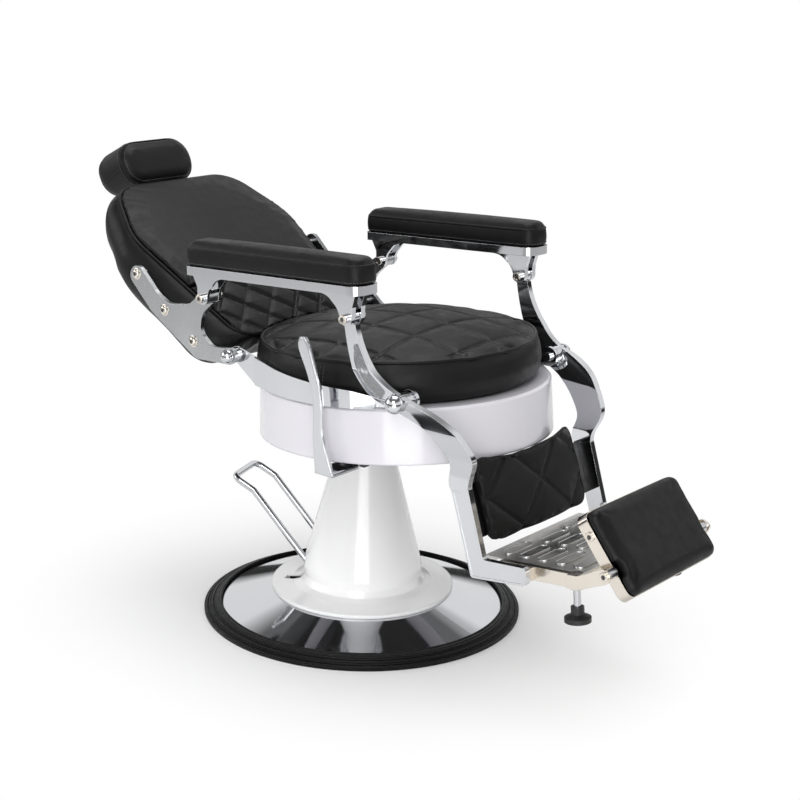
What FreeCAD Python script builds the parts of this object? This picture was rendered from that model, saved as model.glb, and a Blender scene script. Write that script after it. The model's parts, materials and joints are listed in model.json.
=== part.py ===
import FreeCAD, Part
import math
import os

# Classic barber chair, in millimetres.
# Origin: centre of the round base on the floor. +X points to the footrest,
# +Y to the sitter's left, +Z up. The rest pose is lowered and reclined.

os.makedirs("parts", exist_ok=True)
V = FreeCAD.Vector
EAST, NORTH, UP = V(1, 0, 0), V(0, 1, 0), V(0, 0, 1)

# Clearances
FIT = 0.3
RUN = 0.05
OPEN_PIVOT = 2.2

# Round base
RING_R = 350.0
RING_WIDTH = 38.0
RING_HEIGHT = 24.0
RING_EDGE = 7.0
RING_STEPS = 3
RING_LIP = 2.5
PLATE_THICK = 12.0
DISC_RIM_Z = 17.0
DISC_TOP_R = 178.0
DISC_TOP_Z = 57.0
DISC_SHEET = 2.5

# Pump cover, pump and ram
FLANGE_R = 201.0
FLANGE_Z = 59.0
CONE_FOOT_R = 119.0
CONE_FOOT_Z = 68.0
FOOT_SWEEP = 42.0
SWEEP_BANDS = 3
COVER_EDGE = 4.0
CONE_TOP_R = 76.0
CONE_TOP_Z = 450.0
COVER_WALL = 3.0
COVER_MOUTH_R = 48.0
PUMP_R = 44.0
PUMP_TOP_Z = 428.0
GLAND_R = 36.0
GLAND_HEIGHT = 18.0
RAM_R = 22.0
RAM_FOOT_Z = 62.0
HEAD_R = 78.0
HEAD_Z = 462.0
HEAD_THICK = 10.0
SPIGOT = 30.0

# Pump pedal: a bent rod loop, t along the pedal, w across it
PEDAL_ANGLE = 198.9
PEDAL_ROD_R = 7.0
PEDAL_HALF = 57.0
AXLE_T = 60.0
AXLE_Z = 50.0
AXLE_R = 9.0
KNEE_T = 239.0
KNEE_Z = 253.0
TOE_T = 288.0
TOE_Z = 279.0
TOE_BEND = 17.0
BEARING_THICK = 10.0
SLOT_WIDTH = 20.0
SLOT_LOW_Z = 60.0
SLOT_HIGH_Z = 116.0
FINGER = 28.0
NOSE_R = 6.0
PLUNGER_R = 7.0
BARREL_R = 13.0
BARREL_TOP_Z = 33.0
PLUNGER_FOOT_Z = 24.0

# Seat: drawn level, then tilted up at the front. Its radius drives the chair's width
# and the places of the pivots about it
SEAT_R = 300.0
SEAT_X = 114.5
SEAT_Z = 443.5
SEAT_TILT = 3.0
SKIRT_R = SEAT_R + 11.0
SKIRT_TOP_R = SEAT_R + 6.0
SKIRT_HEIGHT = 111.0
SKIRT_WALL = 3.0
SKIRT_ROUND = 5.0
LIP_R = SEAT_R - 42.0
BOARD_THICK = 14.0
CUSHION_SHIFT = -17.0
CUSHION_R = SEAT_R
CUSHION_SIDE = ((0.0, 14.0), (0.16, 4.0), (0.44, 0.0), (0.76, 4.0), (1.0, 12.0))
PIPING_R = CUSHION_R - CUSHION_SIDE[-1][1]
PIPING_H = 197.0
CROWN = 44.0
BEAM_Y = 60.0
BEAM_THICK = 10.0
BEAM_FRONT_X = SEAT_X + SEAT_R - 84.5
BEAM_REAR_X = SEAT_X - SEAT_R + 65.5
BEAM_END = 30.0
SWIVEL_R = 88.0
SWIVEL_THICK = 10.0
HUB_R = 38.0
HUB_HEIGHT = 16.0

# Chrome side rails of the seat
RAIL_THICK = 5.0
RAIL_CLEAR = 7.0
RAIL_R = CUSHION_R + RAIL_CLEAR + RAIL_THICK / 2
RAIL_FOLD_X = -SEAT_R * 0.56 - 20.0
RAIL_FOLD_Y = SEAT_R - 41.0
RAIL_FOLD_HEIGHT = 60.0
RAIL_FRONT_HEIGHT = 36.0
RAIL_STEP_HEIGHT = 22.0
RAIL_JOG_X = SEAT_R - 200.0
RAIL_KNEE_X = SEAT_R - 168.0
RAIL_KNEE_Y = SEAT_R * 0.6 + 80.0
RAIL_END_Y = SEAT_R * 0.46 + 97.0
RAIL_END_RUN = 24.0
RAIL_EYE_R = 17.0
RAIL_EYE_THICK = 8.0
RAIL_TAB_THICK = 3.0
RAIL_TAB_WIDTH = 60.0
RAIL_TAB_REACH = 80.0
RAIL_TAB_ANGLES = (-68.0, -105.0)

# Pivots, in the side view
REAR_X, REAR_Z = SEAT_X - SEAT_R + 53.0, 601.0
FRONT_X, FRONT_Z = SEAT_X + SEAT_R - 104.0, 586.0
ARM_REAR_X, ARM_REAR_Z = REAR_X - 54.5, 718.0
ARM_FRONT_X, ARM_FRONT_Z = FRONT_X - 108.5, 739.0
REAR_PIN_R = 8.0
FRONT_PIN_R = 10.0
ARM_PIN_R = 6.0
REAR_BALL_R = 14.5
FRONT_BALL_R = 19.0
COLLAR = 4.0
BALL_SEAT = 0.35

# Back: drawn upright with its front facing +X, then reclined about the rear pivot
BACK_ANGLE = 33.0
SIDE_PLATE_THICK = 10.0
SIDE_PLATE_Y = RAIL_FOLD_Y + 18.0
BACK_FRONT = -15.0
BACK_LEVELS = (
    (-15.0, 0.0, 0.0), (-26.0, 14.0, 0.0), (-42.0, 23.0, 6.0), (-60.0, 26.0, 16.0), (-80.0, 26.0, 30.0),
    (-100.0, 24.0, 50.0), (-114.0, 15.0, 80.0), (-125.0, 2.0, 120.0), (-130.0, -14.0, 160.0))
BACK_BOTTOM = 46.0
BACK_TOP = 540.0
BACK_WIDE = 386.0
BACK_HALF = SIDE_PLATE_Y - 33.0
BACK_FOOT_HALF = BACK_HALF - 48.0
BACK_TOP_HALF = BACK_HALF - 68.0
BACK_FOOT_ROUND = 50.0
BACK_WIDE_ROUND = 140.0
BACK_CORNER = 85.0
FOOT_SPREAD = 2.6
SHOULDER_SPREAD = 1.25
TOP_SPREAD = 0.25
WIDE_SHARE = 0.8
FOOT_SHARE = 0.35
BACK_CROWN = 22.0
BACK_DISH = 2600.0
SEAM_U = 212.0
SEAM_GAP = 1.0
SEAT_CLEAR = 6.0
TIP_BOSS_R = 14.0
STUD_R = 6.0
STUD_LENGTH = 30.0
STUD_PLACES = ((-40.0, 304.0), (-49.0, 197.0), (-47.0, 96.0))
BOLT_HEAD_R = 9.5
BOLT_HEAD = 6.0

# Headrest: drawn about its centre, facing +X, then turned down towards the sitter
HEADREST_N = -47.0
HEADREST_U = 628.5
HEADREST_TURN = 30.0
HEADREST_HALF = 107.0
HEADREST_TALL = 105.0
HEADREST_CORNER = 48.0
HEADREST_LEVELS = ((-57.0, 16.0), (-50.0, 5.0), (-32.0, 0.0), (36.0, 0.0), (49.0, 8.0), (57.0, 22.0))
POST_R = 6.0
POST_Y = 56.0
POST_N = -58.0
POST_FOOT = 425.0
SLEEVE_R = 10.0
SLEEVE_LENGTH = 70.0

# Armrests: drawn along the line through their two pivots
ARM_Y = SIDE_PLATE_Y + 8.0
ARM_WIDTH = 77.0
ARM_SPAN = math.hypot(ARM_FRONT_Z - ARM_REAR_Z, ARM_FRONT_X - ARM_REAR_X)
ARM_REAR = ARM_REAR_X - ARM_FRONT_X - 31.0
ARM_FRONT = 48.0
ARM_BAR_LOW = 49.0
ARM_BAR = 18.0
ARM_REAR_ROUND = 14.0
ARM_FRONT_ROUND = 30.0
PAD_SIDE = 37.0
PAD_CROWN = 15.0
PAD_INSET = 2.0
CLEVIS_WIDTH = 40.0
FRONT_EAR = 12.0
REAR_EAR = 7.0
EAR_R = 14.0

# Front arms, from the armrest down to the footrest arm
ARM_BAR_THICK = 14.0
FRONT_ARM_Y = SEAT_R * 0.58 + 96.0
FRONT_HUB_R = 18.0
FRONT_LUG_Y = RAIL_END_Y - RAIL_THICK / 2 + RAIL_EYE_THICK
FRONT_HUB_IN = FRONT_LUG_Y + 5.5
PANEL_DEPTH = 1.5
BEND_RADIUS = 45.0
OUTLINE_OVER = 65.0

# Footrest arms
FOOT_ARM_IN = 206.0
FOOT_ARM_THICK = 14.0
FOOT_ARM_EDGE = 4.0
FOOT_ARM_GROOVE = 1.2

# Footplate and its frame: drawn level, then tilted up at the front
FOOT_X = FRONT_X + 141.5
FOOT_Z = FRONT_Z - 304.0
FOOT_TILT = 5.5
FOOT_LENGTH = 227.0
FOOT_SHEET = 3.0
FRAME_OUT = 180.0
FRAME_WALL = 14.0
SPACER_START = 62.0
SPACER_END = 122.0
FRAME_HEIGHT = 27.0
FRAME_START = 46.0
OVAL_LENGTH = 84.0
OVAL_WIDTH = 26.0
OVAL_RISE = 1.6
OVAL_PITCH_X = 42.0
OVAL_PITCH_Y = 102.0
OVAL_START = 32.0
OVAL_COUNT = 5
FOOT_FLANGE = 16.0
BOSS_R = 13.0
STEM_R = 7.0
STEM_LENGTH = 54.0
STEM_TRAVEL = 6.0
FOOT_CAP = 6.0
BOSS_DROP = 4.0
PAD_FOOT_R = 26.0
PAD_NECK_R = 13.0
PAD_FOOT_HEIGHT = 30.0

# Flip pad: drawn upright about its hinge, then leaned back
HINGE_X, HINGE_Z = FOOT_X + FOOT_LENGTH + 58.0, FOOT_Z + 40.0
FLIP_LEAN = 39.0
FLIP_HIGH = 121.0
FLIP_LOW = -59.0
FLIP_HALF = 154.0
PAN_BACK = -21.0
PAN_FRONT = 4.0
PAN_WALL = 3.0
FLIP_CORNER = 20.0
FLIP_EDGE = 10.0
FLIP_CROWN = 12.0
NOTCH_DEPTH = 11.0
NOTCH_HALF = 14.0
HINGE_ARM_THICK = 6.0
HINGE_PIN_R = 6.0
HINGE_EAR_R = 15.0

# Calf pad: drawn upright from its lower front edge, then leaned back
CALF_X = FRONT_X + 160.5
CALF_Z = FRONT_Z - 271.0
CALF_LEAN = 20.0
CALF_HIGH = 172.0
CALF_HALF = 165.0
CALF_THICK = 20.0
CALF_CROWN = 16.0
CALF_CORNER = 22.0
CALF_SWEEP_CLEAR = 4.0
CALF_BOARD_THICK = 18.0
CALF_BOARD_LOW = 14.0
CALF_BOARD_HIGH = 122.0

# Recline lever
LEVER_X = SEAT_X + 71.5
LEVER_Z = SEAT_Z - 9.5
LEVER_Y = SKIRT_R + 29.0
LEVER_SHAFT_R = 8.0
LEVER_BAR_WIDTH = 46.0
LEVER_BAR_THICK = 8.0
LEVER_SHAFT_END = 116.0
LEVER_BRACKET_YS = (LIP_R - 32.0, LIP_R - 132.0)
LEVER_BRACKET_THICK = 8.0
LEVER_BRACKET_WIDTH = 44.0
LEVER_BRACKET_FOOT = 32.0
LEVER_BRACKET_DROP = 14.0
CAM_R = 12.0
CAM_TIP_HALF = 9.0
CAM_REACH = 38.0
CAM_THICK = 10.0

# Sewn diamonds: channel depth and half width
CHANNEL_DEPTH = 6.0
CHANNEL_HALF = 7.0
SEAT_DIAMOND = 75.0
LUMBAR_DIAMOND = 58.0
CALF_DIAMOND = 88.0


def tilted(x, z, lean):
    """Placement at a side-view point, with local +X raised by lean degrees."""
    return FreeCAD.Placement(V(x, 0, z), FreeCAD.Rotation(NORTH, -lean))


SEAT = tilted(SEAT_X, SEAT_Z, SEAT_TILT)
BACK = tilted(REAR_X, REAR_Z, 90.0 - BACK_ANGLE)
FOOT = tilted(FOOT_X, FOOT_Z, FOOT_TILT)
FLIP = tilted(HINGE_X, HINGE_Z, FLIP_LEAN)
CALF = tilted(CALF_X, CALF_Z, CALF_LEAN)
ARM_TILT = math.degrees(math.atan2(ARM_FRONT_Z - ARM_REAR_Z, ARM_FRONT_X - ARM_REAR_X))
ARM = tilted(ARM_FRONT_X, ARM_FRONT_Z, ARM_TILT)


def local_xz(place, x, z):
    """Local coordinates, in a tilted placement, of a side-view point."""
    point = place.inverse().multVec(V(x, 0, z))
    return point.x, point.z


def placed(shape, place):
    moved = shape.copy()
    moved.Placement = place.multiply(moved.Placement)
    return moved


def mirrored(shape):
    return shape.mirror(V(0, 0, 0), NORTH)


def both_sides(shape):
    return Part.Compound([shape, mirrored(shape)])


def rounded(corners):
    """Closed wire through (point, radius) corners, each rounded by an arc."""
    stops = []
    count = len(corners)
    for index, (point, radius) in enumerate(corners):
        back = (corners[index - 1][0] - point).normalize()
        ahead = (corners[(index + 1) % count][0] - point).normalize()
        if radius == 0:
            stops.append((point, None, point))
            continue
        half = back.getAngle(ahead) / 2
        run = radius / math.tan(half)
        middle = (back + ahead).normalize()
        crest = point + middle * (radius / math.sin(half) - radius)
        stops.append((point + back * run, crest, point + ahead * run))
    edges = []
    for index, (enter, crest, leave) in enumerate(stops):
        if crest is not None:
            edges.append(Part.Arc(enter, crest, leave).toShape())
        following = stops[(index + 1) % count][0]
        if leave.distanceToPoint(following) > 1e-6:
            edges.append(Part.LineSegment(leave, following).toShape())
    return Part.Wire(edges)


def side_wire(corners, y=0.0):
    """Rounded outline in the side view from (x, z, radius) corners."""
    return rounded([(V(x, y, z), radius) for x, z, radius in corners])


def side_plate(corners, y_low, y_high):
    """Plate between two Y planes with a rounded side-view outline."""
    return Part.Face(side_wire(corners, y_low)).extrude(V(0, y_high - y_low, 0))


def front_wire(corners, x=0.0):
    """Rounded outline in the front view from (y, z, radius) corners."""
    return rounded([(V(x, y, z), radius) for y, z, radius in corners])


def plan_plate(corners, z_low, z_high):
    """Plate between two Z planes with a rounded plan outline."""
    wire = rounded([(V(x, y, z_low), radius) for x, y, radius in corners])
    return Part.Face(wire).extrude(V(0, 0, z_high - z_low))


def block(x, y, z):
    """Box between two limits on each axis."""
    return Part.makeBox(x[1] - x[0], y[1] - y[0], z[1] - z[0], V(x[0], y[0], z[0]))


def rod_y(x, z, radius, y_low, y_high):
    """Round bar along Y."""
    return Part.makeCylinder(radius, y_high - y_low, V(x, y_low, z), NORTH)


def rod_z(radius, z_low, z_high, x=0.0, y=0.0):
    """Round bar along Z."""
    return Part.makeCylinder(radius, z_high - z_low, V(x, y, z_low), UP)


def spun(corners):
    """Solid of revolution about Z from a rounded (radius, z, round) outline."""
    return Part.Face(side_wire(corners)).revolve(V(0, 0, 0), UP, 360)


def tube(points, bends, radius):
    """Round rod along straight runs joined by tangent arcs."""
    edges = []
    start = points[0]
    for index in range(1, len(points) - 1):
        point = points[index]
        back = (points[index - 1] - point).normalize()
        ahead = (points[index + 1] - point).normalize()
        half = back.getAngle(ahead) / 2
        run = bends[index - 1] / math.tan(half)
        middle = (back + ahead).normalize()
        crest = point + middle * (bends[index - 1] / math.sin(half) - bends[index - 1])
        edges.append(Part.LineSegment(start, point + back * run).toShape())
        edges.append(Part.Arc(point + back * run, crest, point + ahead * run).toShape())
        start = point + ahead * run
    edges.append(Part.LineSegment(start, points[-1]).toShape())
    along = points[1] - points[0]
    ring = Part.Wire(Part.Circle(points[0], along, radius).toShape())
    return Part.Wire(edges).makePipeShell([ring], True, True)


def channels(centre, ball_r, spacing, reach, slopes, place):
    """V grooves of sewn diamonds on a ball-shaped crown that faces local +Z.

    centre is the crown's top; every groove is an arc of the ball in a
    vertical plane, so it keeps its depth all along."""
    grooves = []
    middle = centre - UP * ball_r
    for slope in slopes:
        along = V(math.cos(math.radians(slope)), math.sin(math.radians(slope)), 0)
        across = V(-along.y, along.x, 0)
        count = int(reach / spacing)
        for index in range(-count - 1, count + 1):
            offset = (index + 0.5) * spacing
            if abs(offset) > reach:
                continue
            arc_r = math.sqrt(ball_r ** 2 - offset ** 2)
            foot = middle + across * offset
            crest = foot + UP * (arc_r + CHANNEL_DEPTH)
            root = foot + UP * (arc_r - CHANNEL_DEPTH)
            wedge = Part.makePolygon([root, crest + across * CHANNEL_HALF * 2,
                                      crest - across * CHANNEL_HALF * 2, root])
            sweep = math.degrees(math.asin(min(1.0, reach / arc_r)))
            face = Part.Face(wedge)
            face.rotate(foot, across, -sweep)
            grooves.append(face.revolve(foot, across, 2 * sweep))
    return placed(Part.Compound(grooves), place)


def cut_channels(solid, grooves):
    for groove in grooves.Solids:
        solid = solid.cut(groove)
    return solid


# Round base

def base_ring():
    """Rubber edge ring whose sloping top steps down to the floor."""
    inner = RING_R - RING_WIDTH
    tread = RING_WIDTH / RING_STEPS
    riser = (RING_HEIGHT - RING_EDGE) / RING_STEPS
    corners = [(inner, 0, 0), (RING_R, 0, 0)]
    for index in range(RING_STEPS):
        x = RING_R - index * tread
        z = RING_EDGE + index * riser
        corners.append((x, z, 0))
        corners.append((x - tread, z + riser - RING_LIP, 0))
    corners[-1] = (inner, RING_HEIGHT, 0)
    return spun(corners)


def base_plate():
    return rod_z(RING_R - RING_WIDTH - FIT, 0, PLATE_THICK)


def base_disc():
    """Spun chrome cover of the base: a shallow cone that rests on the plate."""
    rim = RING_R - RING_WIDTH - FIT
    return spun([(rim, PLATE_THICK, 0), (rim, DISC_RIM_Z, 0), (DISC_TOP_R, DISC_TOP_Z, 0),
                 (DISC_TOP_R, DISC_TOP_Z - DISC_SHEET, 0), (rim - DISC_SHEET * 3, PLATE_THICK, 0)])


def disc_height(radius):
    """Top of the chrome base cover at a radius."""
    rim = RING_R - RING_WIDTH - FIT
    share = (rim - radius) / (rim - DISC_TOP_R)
    return DISC_RIM_Z + share * (DISC_TOP_Z - DISC_RIM_Z)


def pedal_frame():
    return FreeCAD.Placement(V(0, 0, 0), FreeCAD.Rotation(UP, PEDAL_ANGLE))


def foot_sweep():
    """Points of the hollow sweep from the flange up into the cone."""
    lean = math.degrees(math.atan2(CONE_FOOT_R - CONE_TOP_R, CONE_TOP_Z - CONE_FOOT_Z))
    rise = math.degrees(math.atan2(CONE_FOOT_Z - FLANGE_Z, FLANGE_R - CONE_FOOT_R))
    turn = 90 - lean - rise
    run = FOOT_SWEEP * math.tan(math.radians(turn / 2))
    down = V(math.cos(math.radians(rise)), 0, -math.sin(math.radians(rise)))
    square = V(math.sin(math.radians(rise)), 0, math.cos(math.radians(rise)))
    start = V(CONE_FOOT_R, 0, CONE_FOOT_Z) + down * run
    centre = start + square * FOOT_SWEEP
    points = []
    for step in range(SWEEP_BANDS + 1):
        angle = math.radians(270 - rise - turn * step / SWEEP_BANDS)
        point = centre + V(math.cos(angle), 0, math.sin(angle)) * FOOT_SWEEP
        points.append((point.x, point.z, 0))
    return points


def pump_cover():
    """White cover: flat flange, swept foot and tall cone, open for the pedal."""
    wall = COVER_WALL
    low = disc_height(FLANGE_R) + FIT
    inner_low = disc_height(FLANGE_R - wall) + FIT
    top = CONE_TOP_Z
    edge = COVER_EDGE
    shell = spun([
        (FLANGE_R, low, 0), (FLANGE_R, FLANGE_Z, 0), *foot_sweep(),
        (CONE_TOP_R, top - edge, 0), (CONE_TOP_R - edge, top, 0), (COVER_MOUTH_R, top, 0),
        (COVER_MOUTH_R, top - wall, 0), (CONE_TOP_R - wall, top - edge - wall, 0),
        (CONE_FOOT_R - wall, CONE_FOOT_Z - wall, 0), (FLANGE_R - wall, FLANGE_Z - wall, 0),
        (FLANGE_R - wall, inner_low, 0)])
    half = SLOT_WIDTH / 2
    for side in (-1, 1):
        w = side * PEDAL_HALF
        slot = front_wire([(w - half, SLOT_LOW_Z, 0), (w + half, SLOT_LOW_Z, 0),
                           (w + half, SLOT_HIGH_Z, half - 1), (w - half, SLOT_HIGH_Z, half - 1)],
                          AXLE_T + SLOT_WIDTH)
        cut = Part.Face(slot).extrude(V(KNEE_T / 3, 0, 0))
        shell = shell.cut(placed(cut, pedal_frame()))
    return shell


def pump_cylinder():
    """Hydraulic cylinder with its gland, and the barrel that the pedal pumps."""
    top = PUMP_TOP_Z + GLAND_HEIGHT
    body = rod_z(PUMP_R, PLATE_THICK, PUMP_TOP_Z).fuse(rod_z(GLAND_R, PUMP_TOP_Z, top))
    body = body.cut(rod_z(RAM_R + RUN, RAM_FOOT_Z - FIT, top))
    reach = AXLE_T + FINGER
    barrel = rod_z(BARREL_R, PLATE_THICK, BARREL_TOP_Z, reach)
    link = block((0, reach), (-BARREL_R, BARREL_R), (PLATE_THICK, PLATE_THICK + BARREL_R))
    side = barrel.fuse(link).cut(rod_z(PLUNGER_R + RUN, PLATE_THICK + FIT, BARREL_TOP_Z, reach))
    side = side.cut(rod_z(PUMP_R - 1, PLATE_THICK, BARREL_TOP_Z))
    return body.fuse(placed(side, pedal_frame())).removeSplitter()


def pedal_bearings():
    """Two pedestals that carry the pedal axle."""
    height = AXLE_Z + AXLE_R * 1.6
    half = AXLE_R * 1.6
    low = PEDAL_HALF + PEDAL_ROD_R + FIT
    corners = [(AXLE_T - half, PLATE_THICK, 0), (AXLE_T + half, PLATE_THICK, 0),
               (AXLE_T + half, height, half - 1), (AXLE_T - half, height, half - 1)]
    post = side_plate(corners, low, low + BEARING_THICK)
    post = post.cut(rod_y(AXLE_T, AXLE_Z, AXLE_R + RUN, low, low + BEARING_THICK))
    return placed(both_sides(post), pedal_frame())


def pump_pedal():
    """Bent rod loop welded to its axle, with the finger that works the plunger."""
    rise = math.atan2(KNEE_Z - AXLE_Z, KNEE_T - AXLE_T)
    start_t = AXLE_T + math.cos(rise) * AXLE_R / 2
    start_z = AXLE_Z + math.sin(rise) * AXLE_R / 2
    half = PEDAL_HALF
    route = [V(start_t, -half, start_z), V(KNEE_T, -half, KNEE_Z), V(TOE_T, -half, TOE_Z),
             V(TOE_T, half, TOE_Z), V(KNEE_T, half, KNEE_Z), V(start_t, half, start_z)]
    loop = tube(route[1:5], [TOE_BEND, TOE_BEND], PEDAL_ROD_R)
    for foot, knee in ((route[0], route[1]), (route[5], route[4])):
        run = knee - foot
        loop = loop.fuse([Part.makeCylinder(PEDAL_ROD_R, run.Length, foot, run),
                          Part.makeSphere(PEDAL_ROD_R, knee)])
    end = half + PEDAL_ROD_R + FIT + BEARING_THICK
    axle = rod_y(AXLE_T, AXLE_Z, AXLE_R, -end, end)
    tip = AXLE_T + FINGER
    arm = side_plate([(AXLE_T, AXLE_Z - NOSE_R, 0), (tip + NOSE_R, AXLE_Z - NOSE_R, NOSE_R - 0.5),
                      (tip + NOSE_R, AXLE_Z + NOSE_R, NOSE_R - 0.5), (AXLE_T, AXLE_Z + NOSE_R, 0)],
                     -NOSE_R, NOSE_R)
    return placed(axle.fuse([loop, arm]).removeSplitter(), pedal_frame())


def pump_plunger():
    top = AXLE_Z - NOSE_R - FIT
    return placed(rod_z(PLUNGER_R, PLUNGER_FOOT_Z, top, AXLE_T + FINGER), pedal_frame())


def ram():
    """Lifting ram with the flange that carries the swivel plate."""
    shaft = rod_z(RAM_R, RAM_FOOT_Z, HEAD_Z + HEAD_THICK + SPIGOT)
    return shaft.fuse(rod_z(HEAD_R, HEAD_Z, HEAD_Z + HEAD_THICK)).removeSplitter()


# Seat

def board_top():
    return SKIRT_HEIGHT + FIT


def seat_level(x, h):
    """Height of the seat's tilted plane h at a side-view x."""
    along = (x - SEAT_X + h * math.sin(math.radians(SEAT_TILT))) / math.cos(math.radians(SEAT_TILT))
    return SEAT.multVec(V(along, 0, h)).z


def seat_frame():
    """Swivel plate and hub with two wedge beams, joined by cross bars."""
    under = HEAD_Z + HEAD_THICK + FIT
    low = under + SWIVEL_THICK
    h = board_top() - BOARD_THICK
    front, rear = BEAM_FRONT_X, BEAM_REAR_X
    foot = math.sqrt(SWIVEL_R ** 2 - BEAM_Y ** 2)
    rear_top, front_top = seat_level(rear, h), seat_level(front, h)
    corners = [(rear, rear_top, 0), (rear, rear_top - BEAM_END, 0), (-foot, low, 0),
               (foot, low, 0), (front, front_top - BEAM_END, 0), (front, front_top, 0)]
    beam = side_plate(corners, BEAM_Y - BEAM_THICK, BEAM_Y)
    parts = [mirrored(beam), rod_z(SWIVEL_R, under, low), rod_z(HUB_R, under, low + HUB_HEIGHT)]
    for x in (rear + BEAM_END, front - BEAM_END):
        deep = seat_level(x, h) - BEAM_END * 0.6
        parts.append(side_plate([(x, deep, 0), (x + BEAM_THICK, deep, 0),
                                 (x + BEAM_THICK, seat_level(x + BEAM_THICK, h), 0),
                                 (x, seat_level(x, h), 0)], -BEAM_Y, BEAM_Y))
    frame = beam.fuse(parts)
    return frame.cut(rod_z(RAM_R + RUN, under, low + HUB_HEIGHT)).removeSplitter()


def seat_board():
    top = board_top()
    return placed(rod_z(LIP_R - FIT, top - BOARD_THICK, top), SEAT)


def seat_skirt():
    """White drum skirt with a turned-in top edge."""
    wall = SKIRT_WALL
    top = SKIRT_HEIGHT
    edge = SKIRT_ROUND
    drum = spun([(SKIRT_R, 0, 0), (SKIRT_TOP_R, top - edge, 0), (SKIRT_TOP_R - edge, top, 0),
                 (LIP_R, top, 0), (LIP_R, top - wall, 0), (SKIRT_TOP_R - edge, top - wall, 0),
                 (SKIRT_R - wall, 0, 0)])
    return placed(drum, SEAT)


def cushion_foot():
    return board_top() + RAIL_TAB_THICK + FIT


def cushion_solid(grow):
    """Round cushion: drawn-in foot, wide waist, seam edge and domed top."""
    foot = cushion_foot() - grow
    crown_h = PIPING_H + CROWN + grow
    outline = [V(0, 0, foot)]
    for share, drawn in CUSHION_SIDE:
        outline.append(V(CUSHION_R - drawn + grow, 0, foot + share * (PIPING_H - foot)))
    rim = outline[-1]
    ball = (rim.x ** 2 + (crown_h - rim.z) ** 2) / (2 * (crown_h - rim.z))
    outline += [V(rim.x, 0, crown_h + FIT), V(0, 0, crown_h + FIT), outline[0]]
    drum = Part.Face(Part.makePolygon(outline)).revolve(V(0, 0, 0), UP, 360)
    solid = drum.common(Part.makeSphere(ball, V(0, 0, crown_h - ball), NORTH))
    solid.translate(V(CUSHION_SHIFT, 0, 0))
    return solid


def seat_ball_r():
    """Radius of the ball that the seat's dome is part of."""
    return (PIPING_R ** 2 + CROWN ** 2) / (2 * CROWN)


def seat_cushion():
    top = V(CUSHION_SHIFT, 0, PIPING_H + CROWN)
    grooves = channels(top, seat_ball_r(), SEAT_DIAMOND, PIPING_R - CHANNEL_HALF * 3, (45, -45),
                       FreeCAD.Placement())
    return placed(cut_channels(cushion_solid(0), grooves), SEAT)


def strip(start, end, thick, height):
    """Upright band between two plan points."""
    along = (end - start).normalize()
    across = V(-along.y, along.x, 0) * (thick / 2)
    wire = Part.makePolygon([start + across, end + across, end - across, start - across, start + across])
    return Part.Face(wire).extrude(UP * height)


def rail_heights():
    """Lower edge of the rail, and its upper edge at the fold and where it steps in."""
    low = board_top()
    return low, low + RAIL_FOLD_HEIGHT, low + RAIL_FRONT_HEIGHT


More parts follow.
